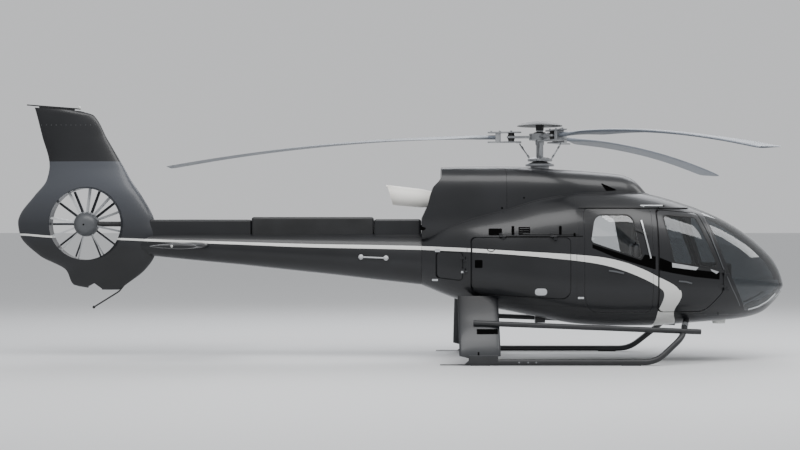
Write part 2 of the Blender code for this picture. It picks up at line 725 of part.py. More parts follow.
def boom_and_spine():
    boom = boom_solid("tail_boom", 0, CHARCOAL)
    cut(boom, boom_solid("boom_inside", BOOM_WALL, overrun=0.01))
    smooth_rounds(boom)
    for name, front, back, top, half, material in SPINE:
        cover = box(name, (back + FIT, -half, 1.65), (front, half, top), material, 0.035, 2)
        low = (back + FIT + COVER_WALL, COVER_WALL - half, 1.50)
        if name == "spine_aft_cover":
            cut(cover, FIN_CLEAR)
        cut(cover, BOOM_CLEAR, box(name + "_inside", low, (front - COVER_WALL, half - COVER_WALL,
                                                           top - COVER_WALL)))


# Fin and shroud sections: height, leading x, trailing x, half thickness
FIN = (
    (0.960, -5.900, -6.180, 0.035),
    (1.030, -5.800, -6.540, 0.060),
    (1.235, -5.537, -6.645, 0.110),
    (1.432, -5.400, -7.009, 0.160),
    (1.726, -5.335, -7.290, 0.195),
    (1.909, -5.395, -7.318, 0.200),
    (2.007, -5.430, -7.290, 0.195),
    (2.273, -5.580, -7.090, 0.175),
    (2.500, -5.733, -6.915, 0.140),
    (2.700, -5.844, -6.876, 0.105),
    (3.100, -6.067, -6.980, 0.075),
    (3.440, -6.257, -7.070, 0.055),
    (3.487, -6.400, -7.085, 0.040),
)
FIN_POINTS = 16
FIN_NOSE = 0.30           # how much fuller the front of a section is
FIN_LEVEL_TO = 2.70       # above this height the sections tilt, front end down
FIN_TOP_SLOPE = 0.08


def fin_ring(height, lead, trail, half, inset=0.0):
    middle, reach = (lead + trail) / 2, (lead - trail) / 2 - 2 * inset
    half -= inset
    tilt = FIN_TOP_SLOPE * max(height - FIN_LEVEL_TO, 0) / (FIN[-1][0] - FIN_LEVEL_TO)
    ring = []
    for i in range(FIN_POINTS):
        angle = math.tau * i / FIN_POINTS
        full = 1 + FIN_NOSE * math.cos(angle)
        along = reach * math.cos(angle)
        ring.append((middle + along, half * full * math.sin(angle), height - tilt * along))
    return ring


FIN_CLEAR = loft("fin_with_clearance", [fin_ring(*row, -FIT) for row in FIN])


def across_duct(thing):
    """Turn a shape made about Z so that its top faces starboard, at the duct's middle."""
    thing.location = (DUCT_X, 0, DUCT_HEIGHT)
    thing.rotation_euler = (math.radians(90), 0, 0)


def fin_and_shroud():
    fin = loft("fin_and_shroud", [fin_ring(*row) for row in FIN], CHARCOAL)
    # the duct's bell mouth on both sides: radius, distance from the middle
    mouth = [(0, 0.5), (0.66, 0.5), (0.62, 0.30), (0.545, 0.19), (DUCT_RADIUS, 0.13)]
    mouth += [(radius, -out) for radius, out in mouth[::-1]]
    bore = turned("duct_bore", mouth, None, DUCT_STEPS)
    across_duct(bore)
    space = loft("fin_space", [fin_ring(*row, FIN_WALL) for row in FIN[2:11]])
    cut(space, rod("duct_wall", (DUCT_X, -1, DUCT_HEIGHT), (DUCT_X, 1, DUCT_HEIGHT),
                   DUCT_RADIUS + 0.065, sides=32))
    cut(fin, space, bore, BOOM_CLEAR)
    tip = prism("fin_tip_plate", [(-7.19, 3.542), (-6.44, 3.484), (-6.44, 3.500), (-7.19, 3.558)],
                -0.012, 0.012)
    foot = prism("fin_tip_foot", [(-7.02, 3.480), (-6.52, 3.440), (-6.52, 3.494), (-7.02, 3.533)],
                 -0.010, 0.010)
    fuse(fin, foot, tip)


STATOR_SIDE = 0.05        # the vanes' middle is this far to starboard
ROTOR_SIDE = -0.075       # the tail rotor's middle is this far to starboard
HOUSING_RADIUS = 0.175
HOUSING_BACK = -0.020     # where the rotor's hub seats on the gear housing
# directions of the ten fixed vanes seen from starboard, degrees from the nose upwards
VANE_ANGLES = (118, 83, 48, 20, -12, -60, -102, -133, -160, 170)
# directions of the ten unevenly spaced rotor blades, counted the same way
TAIL_BLADE_ANGLES = (0, 38, 70, 112, 143, 180, 218, 250, 292, 323)


def plate_blade(name, inner, outer, chord, thick, pitch, angle, level):
    """A flat tapered blade about Z, pitched about its own length."""
    rings = []
    for radius, width in ((inner, chord[0]), (outer, chord[1])):
        ring = []
        for across, up in ((-1, 0), (-0.3, 1), (0.6, 0.8), (1, 0), (0.6, -0.8), (-0.3, -1)):
            ring.append(Vector((radius, across * width / 2, up * thick / 2)))
        rings.append(ring)
    turn = Matrix.Rotation(math.radians(angle), 4, "Z") @ Matrix.Translation((0, 0, level))
    turn = turn @ Matrix.Rotation(math.radians(pitch), 4, "X")
    return loft(name, [[turn @ point for point in ring] for ring in rings])


def tail_rotor_and_stator():
    """Ten fixed vanes carry the gear housing; the ten-blade rotor turns behind them."""
    housing = [(0, 0.165), (0.064, 0.158), (0.122, 0.130), (0.160, 0.085), (HOUSING_RADIUS, 0.03),
               (HOUSING_RADIUS, HOUSING_BACK), (0, HOUSING_BACK)]
    stator = turned("tail_stator", housing, BLACK, 28)
    vanes = [plate_blade(f"vane_{i}", 0.10, DUCT_RADIUS + 0.02, (0.07, 0.07), 0.014, 50, a,
                         STATOR_SIDE) for i, a in enumerate(VANE_ANGLES)]
    vanes = joined("stator_vanes", vanes)
    shaft = rod("shaft_fairing", (0.10, 0, 0.04), (DUCT_RADIUS + 0.02, 0, 0.04), 0.036, sides=10)
    inside = DUCT_RADIUS - FIT
    wall = turned("stator_reach", [(0, 0.13), (inside, 0.13), (inside, -0.13), (0, -0.13)],
                  None, DUCT_STEPS)
    for thing in (stator, vanes, shaft, wall):
        across_duct(thing)
    keep(vanes, wall)
    keep(shaft, wall)
    fuse(stator, vanes, shaft)
    seat = HOUSING_BACK - FIT
    hub = [(0, seat), (0.05, seat), (0.05, -0.03), (0.145, -0.03), (0.150, -0.05), (0.150, -0.12),
           (0.10, -0.16), (0, -0.17)]
    rotor = turned("tail_rotor", hub, STEEL, 28)
    blades = [plate_blade(f"tail_blade_{i}", 0.10, TAIL_ROTOR_RADIUS, (0.055, 0.050), 0.012, 28, a,
                          ROTOR_SIDE) for i, a in enumerate(TAIL_BLADE_ANGLES)]
    fuse(rotor, joined("tail_rotor_blades", blades))
    spindle = datum("tail_rotor_axis", (DUCT_X, 0, DUCT_HEIGHT), AIRFRAME)
    across_duct(rotor.modifiers[-1].object)
    rotor.rotation_euler = (math.radians(90), 0, 0)
    rotor.parent = spindle


# Stabiliser sections: side, leading x, trailing x, half thickness
STABILISER = ((0.10, -4.620, -5.250, 0.038), (1.330, -4.640, -5.260, 0.034),
              (1.365, -4.680, -5.240, 0.020))
STABILISER_HEIGHT = 1.585


def stabilisers():
    for side, word in LEFT_AND_RIGHT:
        rings = []
        for out, lead, trail, half in STABILISER:
            middle, reach = (lead + trail) / 2, (lead - trail) / 2
            ring = []
            for i in range(12):
                angle = math.tau * i / 12
                full = 1 + 0.45 * math.cos(angle)
                ring.append((middle + reach * math.cos(angle), side * out,
                             STABILISER_HEIGHT + half * full * math.sin(angle)))
            rings.append(ring)
        cut(loft("stabiliser_" + word, rings, CHARCOAL), BOOM_CLEAR)


def tail_skid():
    """Thin guard rod under the shroud, with a ball end."""
    path = bent_path(((-5.78, 0, 1.085, 0), (-5.90, 0, 0.935, 0.03), (-6.252, 0, 0.716, 0)), 3)
    guard = tube("tail_skid", path, 0.011, BLACK)
    bm = bmesh.new()
    bmesh.ops.create_uvsphere(bm, u_segments=10, v_segments=6, radius=0.022)
    bmesh.ops.translate(bm, vec=(-6.252, 0, 0.716), verts=bm.verts)
    fuse(guard, from_bmesh("tail_skid_ball", bm))
    cut(guard, FIN_CLEAR)


# Landing gear
LEG_TOP_SIDE = 0.60
LEG_TOP_HEIGHT = 0.90
LEG_X = (-1.175, -0.625)
SHOES_X = (-0.90, 1.10)
SKID_AFT_X = -1.125
# Side view of what is cut off: the slanted aft end of a skid tube, and below a leg's fairing
SKID_SLANT = ((-1.180, -0.05), (-0.904, 0.20), (-1.400, 0.20), (-1.400, -0.05))
LEG_HEM = ((-1.300, -0.10), (-0.500, -0.10), (-0.500, 0.135), (-0.640, 0.125), (-0.900, 0.082),
           (-1.040, 0.098), (-1.175, 0.130), (-1.300, 0.140))
STEP_RADIUS = 0.036
STEP_AFT = (-0.975, 0.553)
STEP_FRONT = (2.070, 0.434)


def step_rod(name, side, grow=0.0, material=None):
    start = Vector((STEP_AFT[0], side * STEP_SIDE, STEP_AFT[1]))
    end = Vector((STEP_FRONT[0], side * STEP_SIDE, STEP_FRONT[1]))
    spare = (end - start).normalized() * grow
    return rod(name, start - spare, end + spare, STEP_RADIUS + grow, material, 12)


def skid_path(side):
    level = SKID_RADIUS + 0.006
    return bent_path(((SKID_AFT_X, side * SKID_SIDE, level, 0),
                      (1.43, side * SKID_SIDE, level, 0.16),
                      (1.80, side * 1.06, 0.36, 0.12),
                      (1.97, side * 0.52, 0.62, 0)))


def skids():
    """Each skid runs level, turns up at the front and in; a spring strip trails behind it."""
    for side, word in LEFT_AND_RIGHT:
        skid = tube("skid_" + word, skid_path(side), SKID_RADIUS, GREY, 3)
        cut(skid, prism("skid_slant_" + word, SKID_SLANT, side * 1.1, side * 1.3))
        for x in SHOES_X:
            fuse(skid, box(f"shoe_{word}_{x}", (x - 0.13, side * SKID_SIDE - 0.03, 0.0),
                           (x + 0.13, side * SKID_SIDE + 0.03, 0.035)))
        fuse(skid, box("spring_strip_" + word, (-1.43, side * SKID_SIDE - 0.025, 0.010),
                       (-0.95, side * SKID_SIDE + 0.025, 0.018)))
        cut(skid, HULL_CLEAR, step_rod("step_clamp_" + word, side, FIT))
        smooth_rounds(skid)


def leg_ring(side, out, height, half_thick):
    """Streamlined section of an aft leg, level with the ground."""
    middle, reach = sum(LEG_X) / 2, (LEG_X[1] - LEG_X[0]) / 2
    ring = []
    for i in range(14):
        angle = math.tau * i / 14
        along = reach * power(math.cos(angle), 0.7)
        ring.append((middle + along, side * out + half_thick * math.sin(angle), height))
    return ring


def aft_legs():
    """Faired legs from the belly down to the skid tubes."""
    for side, word in LEFT_AND_RIGHT:
        # distance out, height, half thickness
        rows = ((LEG_TOP_SIDE, LEG_TOP_HEIGHT, 0.060), (0.86, 0.60, 0.055),
                (1.10, 0.30, 0.050), (1.195, 0.10, 0.045), (1.20, 0.055, 0.044))
        leg = loft("aft_leg_" + word, [leg_ring(side, *row) for row in rows], GREY)
        cut(leg, prism("leg_hem_" + word, LEG_HEM, side * 1.0, side * 1.4))
        fuse(leg, box("skid_saddle_" + word, (-1.05, side * SKID_SIDE - 0.042, 0.050),
                      (-0.66, side * SKID_SIDE + 0.042, 0.140)))
        grip = tube("skid_grip_" + word, skid_path(side), SKID_RADIUS + FIT, None, 3)
        cut(leg, HULL_CLEAR, grip, step_rod("step_seat_" + word, side, FIT))


def steps():
    """Long boarding steps, each carried by an aft leg and the front bend of a skid."""
    for side, word in LEFT_AND_RIGHT:
        step_rod("boarding_step_" + word, side, 0.0, BLACK)


def seats():
    """Two rows of seats, each row joined by the box that carries it."""
    # name, middle of the row's cushions along x, seat middles across
    rows = (("front_seats", 1.62, (-0.56, 0.0, 0.56)), ("rear_seats", 0.76, (-0.66, -0.22, 0.22, 0.66)))
    for name, x, places in rows:
        width = 0.20 if len(places) == 4 else 0.22
        row = box(name, (x - 0.16, -0.62, FLOOR_HEIGHT + FIT), (x + 0.16, 0.62, 0.82), LEATHER)
        for i, y in enumerate(places):
            cushion = box(f"{name}_cushion_{i}", (x - 0.22, y - width, 0.80),
                          (x + 0.24, y + width, 0.96), None, 0.03, 1)
            back = box(f"{name}_back_{i}", (x - 0.27, y - width, 0.90),
                       (x - 0.15, y + width, 1.62), None, 0.03, 1)
            fuse(row, cushion, back)


def instrument_panel():
    """Pedestal with the instrument hood on it."""
    panel = box("instrument_panel", (2.25, -0.16, FLOOR_HEIGHT + FIT), (2.62, 0.16, 1.10), BLACK)
    hood = box("instrument_hood", (2.33, -0.44, 1.08), (2.60, 0.44, 1.34), None, 0.03, 1)
    fuse(panel, hood)


# Main rotor head
STAR_THICK = 0.030
SLEEVE_FROM = 0.26
SLEEVE_TO = 0.73
SLEEVE_GAP = 0.060        # half height between a sleeve's two plates
SWASH_HEIGHT = 2.78
BLADE_ANGLES = [FIRST_BLADE + 120 * i for i in range(3)]


def placed(things, angle):
    """Turn shapes made along +X to a blade's direction about the mast."""
    for thing in things:
        thing.data.transform(Matrix.Rotation(math.radians(angle), 4, "Z"))
    return list(things)


def rotor_head():
    """Mast, star with its three arms, and the sleeves that hold the blades."""
    head = rod("rotor_head", (0, 0, GEARBOX_TOP + FIT), (0, 0, 3.19), MAST_RADIUS, STEEL, 20)
    fuse(head, rod("star_hub", (0, 0, HUB_HEIGHT - 0.045), (0, 0, HUB_HEIGHT + 0.045), 0.15,
                   sides=24))
    for i, angle in enumerate(BLADE_ANGLES):
        arm = box(f"star_arm_{i}", (0.10, -0.055, HUB_HEIGHT - STAR_THICK / 2),
                  (0.46, 0.055, HUB_HEIGHT + STAR_THICK / 2))
        bearing = box(f"star_bearing_{i}", (0.36, -0.045, HUB_HEIGHT - SLEEVE_GAP - 0.01),
                      (0.44, 0.045, HUB_HEIGHT + SLEEVE_GAP + 0.01))
        upper = box(f"sleeve_upper_{i}", (SLEEVE_FROM, -0.075, HUB_HEIGHT + SLEEVE_GAP),
                    (SLEEVE_TO, 0.075, HUB_HEIGHT + SLEEVE_GAP + 0.016))
        lower = box(f"sleeve_lower_{i}", (SLEEVE_FROM, -0.075, HUB_HEIGHT - SLEEVE_GAP - 0.016),
                    (SLEEVE_TO, 0.075, HUB_HEIGHT - SLEEVE_GAP))
        fitting = box(f"sleeve_fitting_{i}", (0.55, -0.060, HUB_HEIGHT - SLEEVE_GAP - 0.01),
                      (0.62, 0.060, HUB_HEIGHT + SLEEVE_GAP + 0.01))
        horn = box(f"pitch_horn_{i}", (0.27, -0.19, HUB_HEIGHT - SLEEVE_GAP - 0.016),
                   (0.33, -0.05, HUB_HEIGHT - SLEEVE_GAP))
        fuse(head, *placed((arm, bearing, upper, lower, fitting, horn), angle))
    smooth_rounds(head, 30)
    cap_bottom = 3.19 + FIT
    cap = turned("rotor_cap", [(0, 3.321), (0.10, 3.316), (0.24, 3.288), (0.319, 3.255),
                               (0.312, 3.250), (0.22, 3.272), (0.06, 3.290), (0.055, cap_bottom),
                               (0, cap_bottom)], BLACK, 32)
    smooth_rounds(cap)
    return head, cap


# Main blade sections: radius, chord as a share, half thickness, pitch in degrees
BLADE_ROWS = (
    (0.621, 0.26, 0.030, 0), (0.80, 0.30, 0.030, 3), (1.10, 0.70, 0.026, 6), (1.40, 1.0, 0.022, 7),
    (2.20, 1.0, 0.021, 5), (3.00, 1.0, 0.021, 3), (3.80, 1.0, 0.020, 1), (4.50, 1.0, 0.019, 0),
    (5.10, 1.0, 0.018, -1), (ROTOR_RADIUS, 0.86, 0.010, -2),
)
# Aerofoil outline: share of the chord from the quarter line, share of half thickness
AEROFOIL = ((0.25, 0.0), (0.19, 0.75), (0.05, 1.0), (-0.25, 0.75), (-0.74, 0.10), (-0.75, -0.10),
            (-0.25, -0.75), (0.05, -1.0), (0.19, -0.75))


def main_blades():
    """Three blades whose free ends droop on the ground."""
    blades = []
    for i, angle in enumerate(BLADE_ANGLES):
        rings = []
        for radius, share, half, pitch in BLADE_ROWS:
            droop = TIP_DROOP * (max(radius - 0.9, 0) / (ROTOR_RADIUS - 0.9)) ** 2
            tilt = Matrix.Rotation(math.radians(-pitch), 3, "X")
            ring = []
            for along, up in AEROFOIL:
                point = tilt @ Vector((0, -along * BLADE_CHORD * share, up * half))
                ring.append(point + Vector((radius, 0, HUB_HEIGHT - droop)))
            rings.append(ring)
        blade = loft(f"main_blade_{i + 1}", rings, BLADE)
        placed((blade,), angle)
        smooth_rounds(blade, 50)
        blades.append(blade)
    return blades


def swashplates():
    """Fixed collar on the gearbox and the turning plate with its pitch links above."""
    bore = MAST_RADIUS + 0.006
    fixed = turned("swashplate_fixed", [(bore, SWASH_HEIGHT - 0.026), (0.10, SWASH_HEIGHT - 0.026),
                                        (0.20, 2.716), (0.20, 2.692), (MAST_COLLAR, 2.692),
                                        (MAST_COLLAR, GEARBOX_TOP + FIT),
                                        (bore, GEARBOX_TOP + FIT)], STEEL, 28)
    close_profile(fixed)
    top = SWASH_HEIGHT
    turning = turned("swashplate_turning", [(MAST_RADIUS + 0.003, top + 0.03), (0.13, top + 0.03),
                                            (0.17, top + 0.01), (0.17, top - 0.02),
                                            (MAST_RADIUS + 0.003, top - 0.02)], STEEL, 28)
    close_profile(turning)
    for i, angle in enumerate(BLADE_ANGLES):
        place = Matrix.Rotation(math.radians(angle), 3, "Z")
        low = place @ Vector((0.13, -0.10, top + 0.0))
        high = place @ Vector((0.30, -0.165, HUB_HEIGHT - SLEEVE_GAP - 0.016 - FIT))
        link = rod(f"pitch_link_{i}", low, high, 0.010, sides=8)
        fuse(turning, link)
        cut(turning, *placed((box(f"link_trim_{i}", (0.2, -0.25, high.z), (0.4, -0.05, high.z + 0.1)),),
                             angle))
    return turning


def close_profile(thing):
    """Join the last profile point to the first, for a ring turned off its axis."""
    count = len(thing.data.vertices)
    points = [tuple(v.co) for v in thing.data.vertices]
    thing.data.clear_geometry()
    thing.data.from_pydata(points, [(i, (i + 1) % count) for i in range(count)], [])


def landing_light():
    """Small lamp housing under the nose."""
    lamp = rod("landing_light", (2.51, 0, 0.49), (2.51, 0, 0.60), 0.085, LENS, 16, 0.11)
    cut(lamp, HULL_CLEAR)


cabin()
front_doors()
rear_doors()
mid_fuselage()
side_hold_doors()
rear_hold_door()
cowlings()
exhaust()
drive_block()
boom_and_spine()
fin_and_shroud()
tail_rotor_and_stator()
stabilisers()
tail_skid()
skids()
aft_legs()
steps()
seats()
instrument_panel()
landing_light()
head, cap = rotor_head()
turning_plate = swashplates()
rotor_axis = datum("main_rotor_axis", (0, 0, HUB_HEIGHT), AIRFRAME)
hang((head, cap, turning_plate, *main_blades()), rotor_axis)
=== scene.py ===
# %% [markdown]
# # Dressing a light helicopter
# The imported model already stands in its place: hull, doors, rotors and gear as plain faceted
# solids. This lesson gives each of them the smooth skin, paint and fittings of the real
# machine. Heights in the tables are counted from the ground, which lies half a metre under
# the frame's origin, so every finished mesh is lowered by that much.

# %% Load the frame
import json
import math
from functools import partial

import bmesh
import bpy
from mathutils import Matrix, Vector


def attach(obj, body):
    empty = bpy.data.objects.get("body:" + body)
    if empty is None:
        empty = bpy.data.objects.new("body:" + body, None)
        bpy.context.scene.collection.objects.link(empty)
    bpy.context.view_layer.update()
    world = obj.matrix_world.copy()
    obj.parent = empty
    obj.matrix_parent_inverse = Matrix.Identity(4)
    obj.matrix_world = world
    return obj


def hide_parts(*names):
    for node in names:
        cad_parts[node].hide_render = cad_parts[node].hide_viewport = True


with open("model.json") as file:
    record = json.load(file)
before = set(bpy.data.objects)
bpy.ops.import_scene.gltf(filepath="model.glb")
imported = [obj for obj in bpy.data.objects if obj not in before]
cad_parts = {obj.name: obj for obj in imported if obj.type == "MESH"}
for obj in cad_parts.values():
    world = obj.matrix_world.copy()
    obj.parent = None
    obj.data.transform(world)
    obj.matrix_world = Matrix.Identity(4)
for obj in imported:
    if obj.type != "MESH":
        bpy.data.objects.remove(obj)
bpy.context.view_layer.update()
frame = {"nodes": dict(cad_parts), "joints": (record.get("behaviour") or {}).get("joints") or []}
GROUND = -0.50
AIRFRAME = "airframe"
LEFT_AND_RIGHT = ((1, "left"), (-1, "right"))

# %% [markdown]
# The photograph was taken from abeam on the starboard side, level, from the height of the
# windows and far away. A long lens at the same distance gives the same slight perspective.

# %% Camera
CAMERA_X = -1.96
CAMERA_BACK = 21.6        # metres from the middle plane
CAMERA_HEIGHT = 1.83
PHOTO_WIDTH = 800
PIXELS_AT_ONE_METRE = 1540.0
PHOTO_MIDDLE_U = 400.0
HORIZON_V = 227.6
PHOTO_MIDDLE_V = 225.0

camera_data = bpy.data.cameras.new("abeam_camera")
camera_data.sensor_width = 36.0
camera_data.lens = 36.0 * PIXELS_AT_ONE_METRE / PHOTO_WIDTH
camera_data.shift_y = (HORIZON_V - PHOTO_MIDDLE_V) / PHOTO_WIDTH
camera = bpy.data.objects.new("abeam_camera", camera_data)
camera.location = (CAMERA_X, -CAMERA_BACK, CAMERA_HEIGHT + GROUND)
camera.rotation_euler = (math.radians(90), 0, 0)
bpy.context.scene.collection.objects.link(camera)
bpy.context.scene.camera = camera


def photo_place(u, v, y=0.0):
    """Where a pixel of the photograph lies on the plane at y, as (x, height)."""
    scale = (CAMERA_BACK + y) / PIXELS_AT_ONE_METRE
    return CAMERA_X + (u - PHOTO_MIDDLE_U) * scale, CAMERA_HEIGHT + (HORIZON_V - v) * scale


print("lens", round(camera_data.lens, 1), "mm, one metre at the middle plane is",
      round(PIXELS_AT_ONE_METRE / CAMERA_BACK, 1), "pixels")

# %% [markdown]
# A paint chart gives colours as sRGB hex values, while Blender's sockets hold linear light, so
# one function turns the first into the second. Shader nodes can be added by hand in the editor,
# one by one; here one small function adds any of them, sets it up and links it.

# %% Colours and shader nodes
def srgb(hex_colour):
    """An sRGB hex colour as linear RGBA."""
    channels = [int(hex_colour[i:i + 2], 16) / 255 for i in (0, 2, 4)]
    return (*[c / 12.92 if c <= 0.04045 else ((c + 0.055) / 1.055) ** 2.4 for c in channels], 1.0)


def plug(tree, value, socket):
    """Fill a socket with a constant, another socket, or the output in use of a node."""
    if isinstance(value, bpy.types.Node):
        value = next(output for output in value.outputs if output.enabled)
    if isinstance(value, bpy.types.NodeSocket):
        tree.links.new(value, socket)
    else:
        socket.default_value = value


def add_node(tree, kind, *inputs, **settings):
    """Add a shader node: settings name properties or sockets, inputs fill sockets in order."""
    node = tree.nodes.new("ShaderNode" + kind)
    for key in [key for key in settings if key not in node.inputs]:
        setattr(node, key, settings.pop(key))
    for key, value in settings.items():
        plug(tree, value, node.inputs[key])
    for socket, value in zip([socket for socket in node.inputs if socket.enabled], inputs):
        plug(tree, value, socket)
    return node


print("mid grey is", round(srgb("808080")[0], 3), "in linear light")

# %% [markdown]
# ## Studio
# A pale floor and a pale surround, and three large soft lights: one high behind the aircraft,
# which draws the bright line along the cowling, a long one high in front of the flank, which
# the windows mirror in their upper halves, and one ahead of the nose for the windshields.

# %% Floor and lights
def soft_light(name, place, target, size, watts, colour="FFFFFF"):
    data = bpy.data.lights.new(name, "AREA")
    data.shape = "RECTANGLE"
    data.size, data.size_y = size
    data.energy = watts
    data.color = srgb(colour)[:3]
    light = bpy.data.objects.new(name, data)
    light.location = place
    light.rotation_euler = (Vector(target) - Vector(place)).to_track_quat("-Z", "Y").to_euler()
    bpy.context.scene.collection.objects.link(light)


soft_light("overhead", (-1.5, 8.0, 8.6), (-1.5, 0.0, 1.2), (18, 5), 1000, "F8FAFF")
soft_light("flank", (0.0, -5.5, 10.0), (-1.0, 0.0, 1.4), (18, 5), 1700)
soft_light("front", (11.0, 1.0, 8.0), (2.4, 0.0, 1.2), (4, 6), 420)

world = bpy.data.worlds.new("studio")
bpy.context.scene.world = world
world.use_nodes = True
world.node_tree.nodes["Background"].inputs["Color"].default_value = srgb("F0F1F3")
world.node_tree.nodes["Background"].inputs["Strength"].default_value = 0.80

floor_bm = bmesh.new()
bmesh.ops.create_grid(floor_bm, x_segments=1, y_segments=1, size=500)
bmesh.ops.translate(floor_bm, vec=(0, 0, GROUND), verts=floor_bm.verts)
floor_mesh = bpy.data.meshes.new("studio_floor")
floor_bm.to_mesh(floor_mesh)
floor_bm.free()
studio_floor = bpy.data.objects.new("studio_floor", floor_mesh)
bpy.context.scene.collection.objects.link(studio_floor)
floor_paint = bpy.data.materials.new("floor_paint")
floor_paint.use_nodes = True
floor_shader = floor_paint.node_tree.nodes["Principled BSDF"]
floor_shader.inputs["Base Color"].default_value = srgb("CFD0D1")
floor_shader.inputs["Roughness"].default_value = 0.7
floor_mesh.materials.append(floor_paint)
print("lights", len(bpy.data.lights))

# %% [markdown]
# ## Shaping helpers
# Most of this machine is lofted: hull, boom, fin, blades. A loft starts as a flat grid whose
# points are carried to the surface, its two long edges are merged and its ends are filled.
# Between the rows of a table a monotone cubic runs, so the skin is smooth and never bulges.

# %% Tables to smooth curves
def power(value, exponent):
    """A power that keeps the sign, for the round-box sections."""
    return math.copysign(abs(value) ** exponent, value)


def slopes_of(keys, values):
    """Monotone cubic slopes, so that a curve through a table never overshoots it."""
    steps = [(b - a) / (kb - ka) for a, b, ka, kb in zip(values, values[1:], keys, keys[1:])]
    middle = [0.0 if a * b <= 0 else 2 * a * b / (a + b) for a, b in zip(steps, steps[1:])]
    return [steps[0], *middle, steps[-1]]


def smooth_table(rows):
    """A function from a table's first column to the others, through every row."""
    rows = sorted(rows)
    keys = [row[0] for row in rows]
    columns = list(zip(*rows))[1:]
    slopes = [slopes_of(keys, column) for column in columns]

    def at(key):
        key = min(max(key, keys[0]), keys[-1])
        i = max(k for k in range(len(keys) - 1) if keys[k] <= key or k == 0)
        width = keys[i + 1] - keys[i]
        t = (key - keys[i]) / width
        found = []
        for column, slope in zip(columns, slopes):
            found.append(column[i] * (1 + 2 * t) * (1 - t) ** 2
                         + slope[i] * width * t * (1 - t) ** 2
                         + column[i + 1] * t * t * (3 - 2 * t)
                         + slope[i + 1] * width * t * t * (t - 1))
        return found
    return at


print("halfway up a smooth step", smooth_table(((0, 0), (1, 1)))(0.5))


# %% Skins from a grid
def skin(along, around, place):
    """A closed tube from a grid; place(t, turn) carries each point, t from 0 to 1."""
    bm = bmesh.new()
    bmesh.ops.create_grid(bm, x_segments=along, y_segments=around, size=0.5)
    for vert in bm.verts:
        vert.co = place(vert.co.x + 0.5, (vert.co.y + 0.5) * math.tau)
    bmesh.ops.remove_doubles(bm, verts=bm.verts, dist=0.00001)
    bmesh.ops.edgeloop_fill(bm, edges=[e for e in bm.edges if e.is_boundary])
    bmesh.ops.recalc_face_normals(bm, faces=bm.faces)
    return bm


# %% [markdown]
# Panels, doors and plates are cut out by their side view, as a jigsaw cuts a board. An outline
# is a face whose corners are rounded by a vertex bevel; extruded across the aircraft it is a
# prism, which a Boolean then keeps or takes away. Boxes with soft edges come from a cube.

# %% Outlines, prisms and blocks
CORNER_STEPS = 6


def flat_outline(corners, grow=0.0):
    """A face in the XZ plane from (x, height, corner radius) rows, moved outwards by grow."""
    bm = bmesh.new()
    verts = [bm.verts.new((x, 0, z)) for x, z, _ in corners]
    face = bm.faces.new(verts)
    face.normal_update()
    reach = []
    for i, (x, z, radius) in enumerate(corners):
        before = (verts[i].co - verts[i - 1].co).normalized()
        after = (verts[(i + 1) % len(verts)].co - verts[i].co).normalized()
        reach.append(radius * math.tan(before.angle(after) / 2))
    if grow:
        moves = []
        for i, vert in enumerate(verts):
            before = (vert.co - verts[i - 1].co).normalized()
            after = (verts[(i + 1) % len(verts)].co - vert.co).normalized()
            out_before, out_after = before.cross(face.normal), after.cross(face.normal)
            middle = (out_before + out_after).normalized()
            moves.append(middle * grow / middle.dot(out_before))
        for vert, move in zip(verts, moves):
            vert.co += move
    for vert, distance in zip(verts, reach):
        if distance > 0.002:
            bmesh.ops.bevel(bm, geom=[vert], offset=distance, segments=CORNER_STEPS, profile=0.5,
                            affect="VERTICES", material=-1)
    return bm


def prism(corners, side_from, side_to, grow=0.0):
    """A side outline with a thickness across the aircraft."""
    bm = flat_outline(corners, grow)
    bmesh.ops.translate(bm, vec=(0, side_from, 0), verts=bm.verts)
    made = bmesh.ops.extrude_face_region(bm, geom=list(bm.faces))
    moved = [v for v in made["geom"] if isinstance(v, bmesh.types.BMVert)]
    bmesh.ops.translate(bm, vec=(0, side_to - side_from, 0), verts=moved)
    bmesh.ops.recalc_face_normals(bm, faces=bm.faces)
    return bm


def block(low, high, bevel=0.0, segments=3):
    """A box between two corners with rounded edges."""
    low, high = Vector(low), Vector(high)
    bm = bmesh.new()
    bmesh.ops.create_cube(bm, size=1.0)
    bmesh.ops.scale(bm, vec=high - low, verts=bm.verts)
    bmesh.ops.translate(bm, vec=(low + high) / 2, verts=bm.verts)
    if bevel:
        bmesh.ops.bevel(bm, geom=bm.edges[:], offset=bevel, segments=segments, profile=0.5,
                        affect="EDGES", material=-1)
    return bm


# %% [markdown]
# Round parts need three more helpers: a bar or cone between two points, a ball, and a profile
# turned about an axis. A tube that bends is a skin again, whose rings follow a path, so its
# wall stays round in the bends.

# %% Bars, balls, turned shapes and tubes
def bar(start, end, radius, sides=16, end_radius=None, bevel=0.0):
    """A round bar or cone between two points."""
    start, end = Vector(start), Vector(end)
    bm = bmesh.new()
    bmesh.ops.create_cone(bm, cap_ends=True, segments=sides, radius1=radius,
                          radius2=radius if end_radius is None else end_radius,
                          depth=(end - start).length)
    if bevel:
        rims = [e for e in bm.edges if any(len(f.verts) > 4 for f in e.link_faces)]
        bmesh.ops.bevel(bm, geom=rims, offset=bevel, segments=2, profile=0.5, affect="EDGES",
                        material=-1)
    turn = (end - start).to_track_quat("Z", "Y").to_matrix().to_4x4()
    bmesh.ops.transform(bm, matrix=Matrix.Translation((start + end) / 2) @ turn, verts=bm.verts)
    return bm


def ball(place, radius, across=16, scale=(1, 1, 1)):
    """A ball, or an ellipsoid where a scale stretches it."""
    bm = bmesh.new()
    bmesh.ops.create_uvsphere(bm, u_segments=across, v_segments=across // 2, radius=radius)
    bmesh.ops.scale(bm, vec=scale, verts=bm.verts)
    bmesh.ops.translate(bm, vec=place, verts=bm.verts)
    return bm


